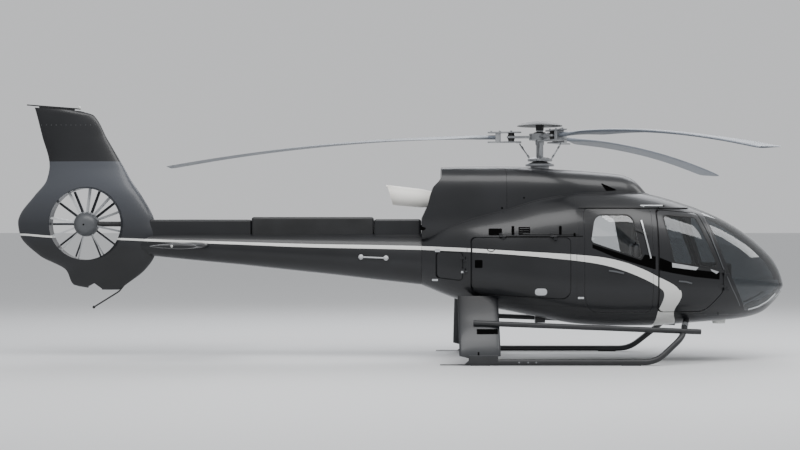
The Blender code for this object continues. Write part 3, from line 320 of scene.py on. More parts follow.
def spun(profile, steps=48):
    """Turn (radius, height) points about Z; the profile is closed to itself or to the axis."""
    bm = bmesh.new()
    verts = [bm.verts.new((radius, 0, height)) for radius, height in profile]
    edges = [bm.edges.new(pair) for pair in zip(verts, verts[1:])]
    if profile[0][0] > 0 and profile[-1][0] > 0:
        edges.append(bm.edges.new((verts[-1], verts[0])))
    bmesh.ops.spin(bm, geom=verts + edges, cent=(0, 0, 0), axis=(0, 0, 1), angle=math.tau,
                   steps=steps, use_merge=True)
    bmesh.ops.remove_doubles(bm, verts=bm.verts, dist=0.00001)
    bmesh.ops.recalc_face_normals(bm, faces=bm.faces)
    return bm


def tube(points, radius, sides=12):
    """A round tube that follows points; its rings stand square to the path."""
    points = [Vector(point) for point in points]
    frames = []
    for i, point in enumerate(points):
        way = (points[min(i + 1, len(points) - 1)] - points[max(i - 1, 0)]).normalized()
        across = way.cross(Vector((0, 0, 1)))
        if across.length <= 0.2:
            across = way.cross(Vector((0, 1, 0)))
        across.normalize()
        frames.append((point, across, across.cross(way)))

    def place(t, turn):
        point, across, up = frames[round(t * (len(points) - 1))]
        return point + (across * math.cos(turn) + up * math.sin(turn)) * radius
    return skin(len(points) - 1, sides, place)


BEND_STEPS = 8


def bent_path(corners):
    """A path through (x, y, height, bend reach) rows; a reach rounds that corner."""
    path = [Vector(corners[0][:3])]
    for before, corner, after in zip(corners, corners[1:], corners[2:]):
        tip = Vector(corner[:3])
        start = tip + (Vector(before[:3]) - tip).normalized() * corner[3]
        end = tip + (Vector(after[:3]) - tip).normalized() * corner[3]
        for k in range(BEND_STEPS + 1):
            t = k / BEND_STEPS
            path.append(start * (1 - t) ** 2 + tip * 2 * t * (1 - t) + end * t ** 2)
    path.append(Vector(corners[-1][:3]))
    return path


def moved(bm, matrix):
    bmesh.ops.transform(bm, matrix=matrix, verts=bm.verts)
    return bm


def together(*shapes):
    """One bmesh out of several that don't touch or only rest on each other."""
    whole = shapes[0]
    for shape in shapes[1:]:
        scratch = bpy.data.meshes.new("scratch")
        shape.to_mesh(scratch)
        shape.free()
        whole.from_mesh(scratch)
        bpy.data.meshes.remove(scratch)
    return whole


# %% [markdown]
# Cuts are Boolean modifiers with the exact solver. A modifier left live would slow the scene
# down, so a throwaway object carries them and the finished shape is read back as a bmesh. Every
# piece then passes through one function, which also hangs it on the body that moves it.

# %% Pieces and cuts
CUT, KEEP, JOIN = "DIFFERENCE", "INTERSECT", "UNION"
SHARP_FROM = math.radians(35)         # edges that turn more than this stay sharp


def shape_object(name, bm):
    """An object in the scene from a bmesh, which is freed."""
    mesh = bpy.data.meshes.new(name)
    bm.to_mesh(mesh)
    bm.free()
    thing = bpy.data.objects.new(name, mesh)
    bpy.context.scene.collection.objects.link(thing)
    return thing


def carved(bm, *steps):
    """Apply (operation, cutter bmesh) steps to a shape and return the result as a bmesh."""
    target = shape_object("carve_target", bm)
    cutters = []
    for operation, cutter_bm in steps:
        cutter = shape_object("carve_cutter", cutter_bm)
        cutters.append(cutter)
        modifier = target.modifiers.new("carve", "BOOLEAN")
        modifier.operation = operation
        modifier.solver = "EXACT"
        modifier.object = cutter
    evaluated = target.evaluated_get(bpy.context.evaluated_depsgraph_get())
    result = bmesh.new()
    result.from_mesh(evaluated.to_mesh())
    evaluated.to_mesh_clear()
    for thing in (target, *cutters):
        mesh = thing.data
        bpy.data.objects.remove(thing)
        bpy.data.meshes.remove(mesh)
    return result


def piece(name, bm, material, body=AIRFRAME, replaces=None, slot=None):
    """Finish a shape: lower it to the frame, shade it, paint it, ride it on its body."""
    bmesh.ops.translate(bm, vec=(0, 0, GROUND), verts=bm.verts)
    thing = shape_object(name, bm)
    thing.data.materials.append(material)
    thing.data.shade_smooth()
    thing.data.set_sharp_from_angle(angle=SHARP_FROM)
    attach(thing, body)
    if replaces:
        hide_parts(replaces)
    return thing


def second_finish(thing, material, chosen):
    """Another finish on the faces that a test of their centre and normal picks."""
    thing.data.materials.append(material)
    for face in thing.data.polygons:
        if chosen(face.center, face.normal):
            face.material_index = 1


# %% [markdown]
# ## The skin as a formula
# A section of the hull is a rounded box, a superellipse, whose keel, roof and width change with
# x. The rows hold these lines as measured. A modelled and smoothed cage could give the same
# form, but a formula also answers how wide the hull is at any place, and the paint and every
# fitting on the skin ask that.

# %% The hull's surface as a formula
# x, keel height, roof height, half width, height of the widest point, squareness
HULL = (
    (-1.66, 1.030, 1.760, 0.330, 1.400, 2.1),
    (-1.30, 0.880, 1.980, 0.520, 1.380, 2.7),
    (-0.95, 0.765, 2.080, 0.700, 1.340, 2.7),
    (-0.50, 0.677, 2.190, 0.860, 1.280, 2.6),
    (0.00, 0.579, 2.320, 0.960, 1.220, 2.6),
    (0.50, 0.492, 2.375, 1.005, 1.180, 2.7),
    (1.00, 0.466, 2.375, 1.015, 1.160, 2.7),
    (1.50, 0.468, 2.300, 1.010, 1.150, 2.6),
    (2.00, 0.500, 2.160, 0.965, 1.130, 2.5),
    (2.40, 0.530, 2.010, 0.870, 1.110, 2.4),
    (2.75, 0.562, 1.820, 0.730, 1.090, 2.3),
    (3.05, 0.634, 1.595, 0.540, 1.060, 2.2),
    (3.25, 0.790, 1.395, 0.345, 1.040, 2.1),
    (3.35, 0.915, 1.215, 0.200, 1.030, 2.0),
    (3.388, 1.000, 1.075, 0.070, 1.028, 2.0),
    (3.392, 1.025, 1.035, 0.008, 1.029, 2.0),
)
NOSE_TIP = 3.393
NOSE_END = NOSE_TIP - 0.001           # the last ring of a loft, just short of the tip
NOSE_CURVE_X = 2.0        # from here forward a wall also thickens along X


def nose_key(x):
    """Distance to the nose tip on a scale that makes the rounded tip a smooth curve."""
    return -math.sqrt(NOSE_TIP - x)


hull_at = smooth_table([(nose_key(row[0]), *row[1:]) for row in HULL])


def hull_point(x, turn, inset=0.0):
    keel, roof, half, widest, square = hull_at(nose_key(x))
    across = max(half - inset, 0.002) * power(math.cos(turn), 2 / square)
    reach = (roof - widest if math.sin(turn) > 0 else widest - keel) - inset
    ramp = max(0.0, (x - NOSE_CURVE_X) / (NOSE_TIP - NOSE_CURVE_X))
    up = max(reach, 0.002) * power(math.sin(turn), 2 / square)
    return Vector((x - inset * ramp, across, widest + up))


def hull_side(x, height):
    """Half width of the hull's skin at a place on its side."""
    keel, roof, half, widest, square = hull_at(nose_key(x))
    reach = (roof if height > widest else keel) - widest
    share = min(abs((height - widest) / reach), 1.0)
    return half * (1 - share ** square) ** (1 / square)


def on_skin(u, v, side_at=hull_side):
    """The place on the starboard skin that a pixel of the photograph shows, as (x, height)."""
    y = 0.0
    for _ in range(4):
        x, height = photo_place(u, v, y)
        y = -side_at(x, height)
    return x, height


print("half width at the front doors", round(hull_side(2.0, 1.2), 3))

# %% Boom, fin and their sides
BOOM_JOINT_X = -1.66
BOOM_END_X = -5.70
# x, bottom height, top height, half width
BOOM = ((BOOM_JOINT_X, 1.030, 1.760, 0.330), (-2.24, 1.095, 1.757, 0.300),
        (-2.80, 1.160, 1.755, 0.272), (-3.50, 1.235, 1.754, 0.240), (-4.20, 1.310, 1.754, 0.210),
        (-4.90, 1.378, 1.754, 0.180), (BOOM_END_X, 1.460, 1.754, 0.140))
BOOM_SQUARE = 2.1
boom_at = smooth_table(BOOM)


def boom_point(x, turn, inset=0.0):
    bottom, top, half = boom_at(x)
    middle = (bottom + top) / 2
    return Vector((x, (half - inset) * power(math.cos(turn), 2 / BOOM_SQUARE),
                   middle + (top - middle - inset) * power(math.sin(turn), 2 / BOOM_SQUARE)))


def boom_side(x, height):
    bottom, top, half = boom_at(x)
    share = min(abs(2 * height - bottom - top) / (top - bottom), 1.0)
    return half * (1 - share ** BOOM_SQUARE) ** (1 / BOOM_SQUARE)


# Fin and shroud: height, leading x, trailing x, half thickness
FIN = ((0.960, -5.900, -6.180, 0.035), (1.030, -5.800, -6.540, 0.060),
       (1.235, -5.537, -6.645, 0.110), (1.432, -5.400, -7.009, 0.160),
       (1.726, -5.335, -7.290, 0.195), (1.909, -5.395, -7.318, 0.200),
       (2.007, -5.430, -7.290, 0.195), (2.273, -5.580, -7.090, 0.175),
       (2.500, -5.733, -6.915, 0.140), (2.700, -5.844, -6.876, 0.105),
       (3.100, -6.067, -6.980, 0.075), (3.440, -6.257, -7.070, 0.055),
       (3.487, -6.400, -7.085, 0.040))
FIN_NOSE = 0.30           # how much fuller the front of a section is
FIN_LEVEL_TO = 2.70       # above this height the sections tilt, front end down
FIN_TOP_SLOPE = 0.08
fin_at = smooth_table(FIN)


def fin_point(height, turn, inset=0.0):
    lead, trail, half = fin_at(height)
    middle, reach = (lead + trail) / 2, (lead - trail) / 2 - 2 * inset
    full = 1 + FIN_NOSE * math.cos(turn)
    along = reach * math.cos(turn)
    tilt = FIN_TOP_SLOPE * max(height - FIN_LEVEL_TO, 0) / (FIN[-1][0] - FIN_LEVEL_TO)
    return Vector((middle + along, (half - inset) * full * math.sin(turn), height - tilt * along))


def fin_side(x, height):
    lead, trail, half = fin_at(height)
    along = min(max((2 * x - lead - trail) / (lead - trail), -1.0), 1.0)
    return half * (1 + FIN_NOSE * along) * math.sqrt(1 - along * along)


def body_side(x, height):
    """Half width of whatever the stripe runs over at x: hull, boom or shroud."""
    if x > BOOM_JOINT_X:
        return hull_side(x, height)
    return boom_side(x, height) if x > BOOM_END_X else fin_side(x, height)


print("half width of boom and shroud", round(boom_side(-3.0, 1.4), 3),
      round(fin_side(-6.3, 1.9), 3))

# %% [markdown]
# ## Paint
# The skins are aluminium and composite sheet, primed, sprayed charcoal and clear coated. Up
# close such a finish has a fine orange peel and a little metallic flake; from a few steps
# away it shows as slow changes of tone and soft reflections. The white stripe is sprayed too,
# so it belongs to the paint: two curves over the length give its upper and lower edges, and
# two over the height give the limb that turns down behind the nose.

# %% Stripe curves
# Edges of the stripe as pixels of the photograph (u, v)
STRIPE_UPPER = ((18, 233.5), (50, 235.6), (120, 238.0), (160, 239.5), (240, 242.0), (300, 243.8),
                (400, 245.6), (440, 246.9), (480, 248.9), (520, 251.3), (560, 253.6), (580, 255.0),
                (600, 257.0), (620, 261.0), (640, 267.9), (660, 277.6), (667, 281.0), (676, 286.2),
                (681, 290.5))
STRIPE_LOWER = ((18, 235.5), (50, 237.6), (120, 240.0), (160, 241.8), (240, 244.6), (300, 247.0),
                (400, 249.3), (440, 250.6), (480, 252.6), (520, 255.3), (560, 259.0), (580, 261.2),
                (600, 264.3), (620, 269.5), (640, 277.1), (660, 287.7), (664, 291.0))
LIMB_FRONT = ((655, 345), (669, 324.5), (674, 311.5), (680, 300.5), (681.7, 296.0), (681.4, 292.0),
              (679.8, 288.8), (676.5, 285.6), (672, 282.6), (667, 280.0), (640, 262.0))
LIMB_BACK = ((640, 345), (651.6, 324.4), (658, 311.4), (663, 300.7), (664.4, 295.3), (663.8, 291.8),
             (662, 288.0))
STRIPE_X = (-7.5, 3.5)
STRIPE_Z = (-0.2, 1.4)


def share(value, low_high):
    return (value - low_high[0]) / (low_high[1] - low_high[0])


def curve_through(tree, edge, by_height, factor):
    """A Float Curve node through a pixel edge, over the length or over the height."""
    places = [on_skin(u, v, body_side) for u, v in edge]
    points = [(share(x, STRIPE_X), share(height + GROUND, STRIPE_Z)) for x, height in places]
    if by_height:
        points = [(b, a) for a, b in points]
    points.sort()
    node = add_node(tree, "FloatCurve", Value=factor)
    curve = node.mapping.curves[0]
    curve.points[0].location = (0.0, points[0][1])
    curve.points[1].location = (1.0, points[-1][1])
    for point in points:
        curve.points.new(*point)
    for point in curve.points:
        point.handle_type = "AUTO_CLAMPED"
    node.mapping.update()
    return node


def stripe_mask(tree, position):
    """1 inside the white stripe and 0 outside it, from the object's own coordinates."""
    axes = add_node(tree, "SeparateXYZ", position)
    x01 = add_node(tree, "MapRange", axes.outputs["X"], *STRIPE_X, 0.0, 1.0)
    z01 = add_node(tree, "MapRange", axes.outputs["Z"], *STRIPE_Z, 0.0, 1.0)
    tests = []
    for edge, value, factor in ((STRIPE_UPPER, z01, x01), (STRIPE_LOWER, z01, x01),
                                (LIMB_FRONT, x01, z01), (LIMB_BACK, x01, z01)):
        curve = curve_through(tree, edge, factor is z01, factor)
        tests.append(add_node(tree, "Math", value, curve, operation="LESS_THAN"))
    outer = add_node(tree, "Math", tests[0], tests[2], operation="MULTIPLY")
    inner = add_node(tree, "Math", tests[1], tests[3], operation="MULTIPLY")
    return add_node(tree, "Math", outer, inner, operation="GREATER_THAN")


# %% Charcoal enamel with its stripe
def new_material(name):
    """An empty procedural material: its tree, its shader and the object's own coordinates."""
    material = bpy.data.materials.new(name)
    material.use_nodes = True
    tree = material.node_tree
    position = add_node(tree, "TexCoord").outputs["Object"]
    return material, tree, tree.nodes["Principled BSDF"], position


def enamel(name, striped, painted_fade=None):
    """Sprayed enamel with flake and orange peel, on request with the stripe or a painted fade.

    A painted fade is painted light and shade over the height: (height it stays under, height of the
    dark end, of the pale end, pale tone).
    """
    material, tree, shader, position = new_material(name)
    cloud = add_node(tree, "TexNoise", position, Scale=1 / 0.9, Detail=3.0)
    # real flake is 0.05 mm; drawn coarse enough to show
    flake = add_node(tree, "TexNoise", position, Scale=1 / 0.004, Detail=1.0)
    speckle = add_node(tree, "Mix", 0.4, cloud, flake)
    tone = add_node(tree, "Mix", add_node(tree, "MapRange", speckle, 0.35, 0.65, 0.0, 1.0),
                    srgb("131416"), srgb("1C1D20"), data_type="RGBA")
    if painted_fade:
        joint_z, dark_z, pale_z, pale = painted_fade
        level = add_node(tree, "SeparateXYZ", position).outputs["Z"]
        under_joint = add_node(tree, "Math", level, joint_z, operation="LESS_THAN")
        paler = add_node(tree, "MapRange", level, dark_z, pale_z, 0.0, 1.0)
        share_pale = add_node(tree, "Math", under_joint, paler, operation="MULTIPLY")
        tone = add_node(tree, "Mix", share_pale, tone, srgb(pale), data_type="RGBA")
    if striped:
        tone = add_node(tree, "Mix", stripe_mask(tree, position), tone, srgb("D6D6D3"),
                        data_type="RGBA")
    plug(tree, tone, shader.inputs["Base Color"])
    plug(tree, add_node(tree, "MapRange", cloud, 0.3, 0.7, 0.32, 0.42), shader.inputs["Roughness"])
    shader.inputs["Specular IOR Level"].default_value = 0.35
    shader.inputs["Coat Weight"].default_value = 0.2
    shader.inputs["Coat Roughness"].default_value = 0.12
    orange_peel = add_node(tree, "TexNoise", position, Scale=1 / 0.012, Detail=2.0)
    plug(tree, add_node(tree, "Bump", Strength=0.25, Distance=0.0006, Height=orange_peel),
         shader.inputs["Normal"])
    return material


# Under its joint with the fin the shroud gets a painted sky reflection, fading to painted shade
# lower down.
# The aft legs get painted shade under the belly: dark at the top, paler downwards.
FIN_JOINT_Z = photo_place(80, 161.6)[1] + GROUND
charcoal = enamel("charcoal_enamel_with_stripe", True)
shroud_enamel = enamel("shroud_enamel", True, (FIN_JOINT_Z, 1.05, 2.0, "44474D"))
leg_enamel = enamel("leg_enamel", False, (0.40, 0.34, -0.20, "2B2D30"))
plain_charcoal = enamel("charcoal_enamel", False)
print("enamel nodes", len(charcoal.node_tree.nodes), len(plain_charcoal.node_tree.nodes))

# %% [markdown]
# The other finishes are each one short recipe: a base tone that wanders a little, a roughness
# that wanders with it and a fine bump. Moulded composite is dull and near black; skids and
# steps have a black powder coat and small fittings a grey one; the rotor head is machined and
# shot peened steel; the guide vanes are pale painted. Every grain is drawn a few millimetres
# wide, coarser than it is, so that it shows at all.

# %% Plain finishes by one recipe
def plain_finish(name, dark, light, roughness, grain, depth, metallic=0.0):
    """A material whose tone and roughness wander with noise, with a fine bump of its grain."""
    material, tree, shader, position = new_material(name)
    wander = add_node(tree, "TexNoise", position, Scale=1 / 0.25, Detail=3.0)
    level = add_node(tree, "MapRange", wander, 0.3, 0.7, 0.0, 1.0)
    plug(tree, add_node(tree, "Mix", level, srgb(dark), srgb(light), data_type="RGBA"),
         shader.inputs["Base Color"])
    plug(tree, add_node(tree, "MapRange", wander, 0.3, 0.7, *roughness), shader.inputs["Roughness"])
    shader.inputs["Metallic"].default_value = metallic
    fine = add_node(tree, "TexNoise", position, Scale=1 / grain, Detail=2.0)
    plug(tree, add_node(tree, "Bump", Strength=0.4, Distance=depth, Height=fine),
         shader.inputs["Normal"])
    return material


# moulded laminate: near black, with wide dull reflections
composite = plain_finish("moulded_black_composite", "0E0F10", "17181A", (0.38, 0.5), 0.004, 0.0003)
# baked powder: even and satin, with a fine pebble that softens every highlight
gear_grey = plain_finish("grey_powder_coat", "484A4D", "535558", (0.38, 0.5), 0.003, 0.0003)
step_black = plain_finish("black_powder_coat", "1E1F21", "2A2B2D", (0.4, 0.55), 0.003, 0.0004)
# machined and shot peened: metal whose mirror image is broken up by small dents
peened_steel = plain_finish("peened_steel", "7E8083", "A2A4A6", (0.3, 0.42), 0.003, 0.0002, 0.85)
# a phosphate bath leaves steel dark and a little matt
dark_steel = plain_finish("phosphated_steel", "34363A", "46484C", (0.4, 0.5), 0.003, 0.0002, 0.6)
# rolled and left bare: the brightest metal here
aluminium = plain_finish("bare_aluminium", "B4B6B8", "CFD1D3", (0.3, 0.4), 0.004, 0.0002, 0.8)
# sprayed: pale and half glossy on the vanes, blue grey on the blades
vane_paint = plain_finish("pale_grey_paint", "A8AAAC", "BDBFC1", (0.35, 0.45), 0.004, 0.0002)
blade_paint = plain_finish("blade_enamel", "5C626B", "6C727B", (0.32, 0.42), 0.006, 0.0003)
# moulded rubber: black and matt
rubber = plain_finish("black_rubber", "0C0C0D", "151516", (0.6, 0.75), 0.002, 0.0003)
# woven and tufted: no highlight at all, only the relief of threads and loops
trim_cloth = plain_finish("headliner_cloth", "B4B3AE", "C0BFBA", (0.8, 0.95), 0.003, 0.0006)
carpet = plain_finish("cabin_carpet", "26272A", "34353A", (0.9, 1.0), 0.004, 0.002)
# paint that wrinkles as it dries: matt, so that a panel mirrors nothing in the windshield
panel_grey = plain_finish("crackle_paint", "191A1C", "242528", (0.6, 0.75), 0.002, 0.0005)
# burnt on by the exhaust: brown black and dry
soot = plain_finish("sooted_steel", "15130F", "2A2622", (0.7, 0.9), 0.004, 0.0005)
# an opening into the dark: hardly any light comes back out
shadow = plain_finish("vent_shadow", "020202", "050505", (0.9, 1.0), 0.004, 0.0003)
shadow.node_tree.nodes["Principled BSDF"].inputs["Specular IOR Level"].default_value = 0.05
print("plain finishes", len(bpy.data.materials))

# %% [markdown]
# The exhaust pipe is steel under a white ceramic heat coat. Heat browns it towards its open
# end, so the tone runs along X there and streaks break it up.

# %% White ceramic coat
HOT_FROM_X, HOT_TO_X = -1.95, -2.14
ceramic, tree, shader, position = new_material("white_ceramic_coat")
axes = add_node(tree, "SeparateXYZ", position)
streaks = add_node(tree, "TexNoise", position, Scale=1 / 0.12, Detail=3.0)
heat = add_node(tree, "MapRange", axes.outputs["X"], HOT_FROM_X, HOT_TO_X, 0.0, 0.5)
browned = add_node(tree, "Math", heat, streaks, operation="MULTIPLY")
plug(tree, add_node(tree, "Mix", browned, srgb("E4E2DC"), srgb("8E8478"), data_type="RGBA"),
     shader.inputs["Base Color"])
plug(tree, add_node(tree, "MapRange", streaks, 0.3, 0.7, 0.42, 0.6), shader.inputs["Roughness"])
ceramic_grain = add_node(tree, "TexNoise", position, Scale=1 / 0.003, Detail=2.0)
plug(tree, add_node(tree, "Bump", Strength=0.4, Distance=0.0003, Height=ceramic_grain),
     shader.inputs["Normal"])
print("ceramic nodes", len(tree.nodes))

# %% [markdown]
# The windows are stretched acrylic, 8 mm thick, clear behind and smoked in front. Transmission
# with the index of acrylic gives the mirror-like sheen at shallow angles and the clear look
# straight on.

# %% Acrylic, lamp glass and display glass
def glazing(name, tint):
    """Clear or smoked acrylic with the faint waves of a formed sheet."""
    material, tree, shader, position = new_material(name)
    shader.inputs["Base Color"].default_value = srgb(tint)
    shader.inputs["Transmission Weight"].default_value = 1.0
    shader.inputs["IOR"].default_value = 1.49
    shader.inputs["Roughness"].default_value = 0.0
    waves = add_node(tree, "TexNoise", position, Scale=1 / 0.15, Detail=1.0)
    plug(tree, add_node(tree, "Bump", Strength=0.3, Distance=0.0002, Height=waves),
         shader.inputs["Normal"])
    return material


acrylic = glazing("stretched_acrylic", "F4F6F7")
smoked_acrylic = glazing("smoked_acrylic", "8A8F93")


def lamp_glass(name, dark, light):
    """Moulded lens glass with a fine ribbed surface."""
    material = plain_finish(name, dark, light, (0.06, 0.1), 0.006, 0.0004)
    material.node_tree.nodes["Principled BSDF"].inputs["Transmission Weight"].default_value = 0.5
    return material


clear_lens = lamp_glass("clear_lens", "EAEBE8", "F6F7F4")
display_glass = plain_finish("display_glass", "060809", "0D1114", (0.05, 0.08), 0.01, 0.0001)
print("materials", len(bpy.data.materials))

# %% [markdown]
# ## Fuselage
# The cabin is an open frame with a floor, a roof with its door pillars and a nose frame round
# the windshields. Each panel here is the one smooth hull, kept only inside the panel's own
# outline and hollowed by a second hull one wall thickness smaller. So neighbours share their
# curvature and a reflection runs across the seams unbroken.

# %% Panel outlines
CABIN_WALL, HOLD_WALL, GLASS = 0.030, 0.022, 0.008
FIT = 0.0003
SEAM = 0.003              # half of a visible seam round a closed panel
SHUT = 0.009              # gap round a door that opens
AFT_SHUT = 0.024          # the same at an aft edge, which moves aft as its door opens
FLOOR_HEIGHT = 0.64
BULKHEAD_X = 0.42
ROOF_SPLIT_X = 2.00
# Side outlines: x, height, corner radius. Where a hinged door closes an opening, the first and
# the last corner are its aft edge.
FRONT_DOORWAY = ((1.490, 0.690, 0.08), (2.150, 0.690, 0.20), (2.395, 0.960, 0.12),
                 (2.395, 1.270, 0.05), (2.100, 2.030, 0.06), (1.490, 2.080, 0.05))
FRONT_WINDOW = ((1.715, 1.370, 0.04), (2.320, 1.290, 0.05), (2.050, 1.965, 0.06),
                (1.590, 2.000, 0.05))
REAR_DOORWAY = ((0.600, 0.690, 0.14), (1.430, 0.690, 0.08), (1.430, 2.085, 0.05),
                (0.510, 2.085, 0.06), (0.510, 0.900, 0.10))
REAR_WINDOW = ((0.600, 1.640, 0.05), (1.285, 1.405, 0.04), (1.155, 2.000, 0.12),
               (0.665, 1.995, 0.12))
WINDSHIELD = ((2.175, 2.060, 0.02), (2.465, 1.260, 0.20), (2.745, 0.700, 0.03),
              (2.860, 0.700, 0.00), (3.020, 0.745, 0.00), (3.180, 0.820, 0.00),
              (3.290, 0.900, 0.00), (3.345, 0.965, 0.00), (3.500, 1.200, 0.00),
              (3.500, 2.400, 0.00), (2.175, 2.400, 0.00))
SIDE_HOLD = ((-1.000, 0.930, 0.12), (0.330, 0.860, 0.12), (0.330, 1.700, 0.06),
             (-1.000, 1.700, 0.06))
REAR_HOLD = ((-1.470, 1.140, 0.05), (-1.100, 1.100, 0.05), (-1.100, 1.500, 0.05),
             (-1.470, 1.500, 0.05))
POST_HALF = 0.035
HULL_AROUND = 96
FAR = 4.0


def door_in(opening):
    """The outline of a hinged door: its opening, with the aft edge further forward."""
    def forward(x, height, radius):
        return x + AFT_SHUT - SHUT, height, radius
    return (forward(*opening[0]), *opening[1:-1], forward(*opening[-1]))


def hull_block(x_from, x_to, inset=0.0):
    """The hull between two stations, solid, its skin moved in by inset."""
    near, far = nose_key(x_from), nose_key(x_to)
    stations = max(4, round(abs(far - near) * 70))

    def place(t, turn):
        key = near + (far - near) * t
        return hull_point(NOSE_TIP - key * key, turn, inset)
    return skin(stations, HULL_AROUND, place)


def side_cut(corners, side, grow=0.0, inner=0.02):
    """A prism through one flank, from near the middle plane outwards."""
    return prism(corners, side * inner, side * 1.5, grow)


def room(x_from, x_to, z_from=-1.0, z_to=FAR):
    """A box wider than the aircraft, to keep what lies between two stations or levels."""
    return block((x_from, -2, z_from), (x_to, 2, z_to))


def hull_shell(x_from, x_to, wall, *steps):
    """A walled part of the hull, open at both ends, then further cuts."""
    inner = hull_block(x_from - 0.05, min(x_to + 0.05, NOSE_END), wall)
    return carved(hull_block(x_from, min(x_to, NOSE_END)), (CUT, inner), *steps)


print("front door outline", len(door_in(FRONT_DOORWAY)), "corners")

# %% Floor, roof and nose frame
def doorways():
    return [(CUT, side_cut(corners, side)) for side, _ in LEFT_AND_RIGHT
            for corners in (FRONT_DOORWAY, REAR_DOORWAY)]


def lining(wall):
    """A test for the inner wall of a hull panel: it looks inwards, one wall under the skin."""
    def chosen(centre, normal):
        inward = Vector((0, -centre.y, 1.2 + GROUND - centre.z)).normalized()
        depth = hull_side(centre.x, centre.z - GROUND) - abs(centre.y)
        return normal.dot(inward) > 0.3 and depth > 0.85 * wall
    return chosen


cabin_floor = piece(
    "cabin_floor_skin",
    carved(hull_block(BULKHEAD_X, NOSE_END), (KEEP, room(-2, FAR, -1, FLOOR_HEIGHT))),
    charcoal, replaces="cabin_floor")
second_finish(cabin_floor, carpet, lambda centre, normal: normal.z > 0.9 and centre.z > 0.1)
cabin_roof = piece(
    "cabin_roof_skin",
    hull_shell(BULKHEAD_X, ROOF_SPLIT_X - FIT, CABIN_WALL,
               (KEEP, room(-2, FAR, FLOOR_HEIGHT + FIT)), *doorways()),
    charcoal, replaces="cabin_roof")
windshields = [(CUT, side_cut(WINDSHIELD, side, inner=POST_HALF)) for side, _ in LEFT_AND_RIGHT]
nose_frame = piece(
    "nose_frame_skin",
    hull_shell(ROOF_SPLIT_X, NOSE_TIP, CABIN_WALL,
               (KEEP, room(-2, FAR, FLOOR_HEIGHT + FIT)), *doorways(), *windshields),
    charcoal, replaces="nose_frame")
for shell in (cabin_roof, nose_frame):
    second_finish(shell, trim_cloth, lining(CABIN_WALL))

# %% [markdown]
# A door is a piece of the same hull shell inside its own outline, less its window. The gap
# round it is real: wide enough to swing where the door hangs on hinges, a fine seam where it is
# shut for good. Window panes and windshields are thinner shells of the same hull, so glass and
# metal lie flush.

# %% Doors and windows
DOORS = (
    ("front_door", door_in(FRONT_DOORWAY), FRONT_WINDOW, SHUT, 1.45, 2.45),
    ("rear_door", REAR_DOORWAY, REAR_WINDOW, SEAM, 0.46, 1.48),
)


def glass_pane(x_from, x_to, corners, side, inner=0.02):
    return carved(hull_block(x_from, x_to), (KEEP, side_cut(corners, side, -FIT, inner)),
                  (CUT, hull_block(x_from - 0.05, min(x_to + 0.05, NOSE_TIP - 0.002), GLASS)))


for side, word in LEFT_AND_RIGHT:
    for name, door, window, gap, x_from, x_to in DOORS:
        hinged = name == "front_door"
        body = f"{name}_{word}_body" if hinged else AIRFRAME
        panel = hull_shell(x_from, x_to, CABIN_WALL, (KEEP, side_cut(door, side, -gap)),
                           (CUT, side_cut(window, side)))
        leaf = piece(f"{name}_{word}_skin", panel, charcoal, body, replaces=f"{name}_{word}")
        second_finish(leaf, trim_cloth, lining(CABIN_WALL))
        pane = glass_pane(x_from, x_to, window, side)
        piece(f"{name}_{word}_pane", pane, smoked_acrylic if hinged else acrylic, body,
              replaces=f"{name.replace('door', 'window')}_glass_{word}")
    pane = glass_pane(2.1, NOSE_END, WINDSHIELD, side, POST_HALF + FIT)
    piece(f"windshield_{word}_pane", pane, smoked_acrylic, replaces=f"windshield_{word}")

# %% [markdown]
# A door closes on a flange: a thin ring of the shell one wall further in, which also keeps
# light out of the gap. Behind the centre post between the windshields a rib stiffens the nose.

# %% Centre post and door flanges
rib = carved(hull_block(2.0, 3.385, CABIN_WALL + FIT),
             (KEEP, block((2.10, -0.03, 1.10), (3.40, 0.03, 2.40))),
             (CUT, hull_block(1.95, 3.388, 0.078)))
piece("centre_post_rib", rib, composite)
FLANGE_OUT, FLANGE_IN, FLANGE_THICK = 0.012, 0.030, 0.006


def door_flange(doorway, side, wall):
    """A ring behind the edge of a shut door, which its seal presses on."""
    xs = [corner[0] for corner in doorway]
    x_from, x_to = min(xs) - 0.05, max(xs) + 0.05
    return carved(hull_block(x_from, x_to, wall + FIT),
                  (KEEP, side_cut(doorway, side, FLANGE_OUT, 0.1)),
                  (CUT, side_cut(doorway, side, -FLANGE_IN, 0.05)),
                  (CUT, hull_block(x_from - 0.02, x_to + 0.02, wall + FLANGE_THICK)))


for side, word in LEFT_AND_RIGHT:
    piece("front_door_flange_" + word, door_flange(FRONT_DOORWAY, side, CABIN_WALL), plain_charcoal)
    piece("side_hold_flange_" + word, door_flange(SIDE_HOLD, side, HOLD_WALL), plain_charcoal)
piece("rear_hold_flange", door_flange(REAR_HOLD, -1, HOLD_WALL), plain_charcoal)

# %% [markdown]
# The holds fill the hull behind the cabin, with a door on each flank and one more at the rear
# on the starboard side. Their shell is thinner than the cabin's and lined with cloth too. The
# hard point under the mast is part of it.

# %% Baggage holds and their doors
HOLD_DOORS = (
    ("side_baggage_door_left", SIDE_HOLD, 1, -1.05, 0.38, "side_baggage_left_body"),
    ("side_baggage_door_right", SIDE_HOLD, -1, -1.05, 0.38, "side_baggage_right_body"),
    ("rear_baggage_door", REAR_HOLD, -1, -1.52, -1.05, "rear_baggage_body"),
)
hold = carved(hull_block(BOOM_JOINT_X, BULKHEAD_X - FIT),
              (CUT, hull_block(BOOM_JOINT_X + 0.05, BULKHEAD_X - 0.03, HOLD_WALL)),
              *[(CUT, side_cut(opening, side, inner=0.1)) for _, opening, side, *_ in HOLD_DOORS])
hard_point = block((-0.07, -0.07, 0.500), (0.07, 0.07, 0.585), 0.001)
mid_fuselage = piece("mid_fuselage_skin", together(hold, hard_point), charcoal,
                     replaces="mid_fuselage")
second_finish(mid_fuselage, trim_cloth, lining(HOLD_WALL))
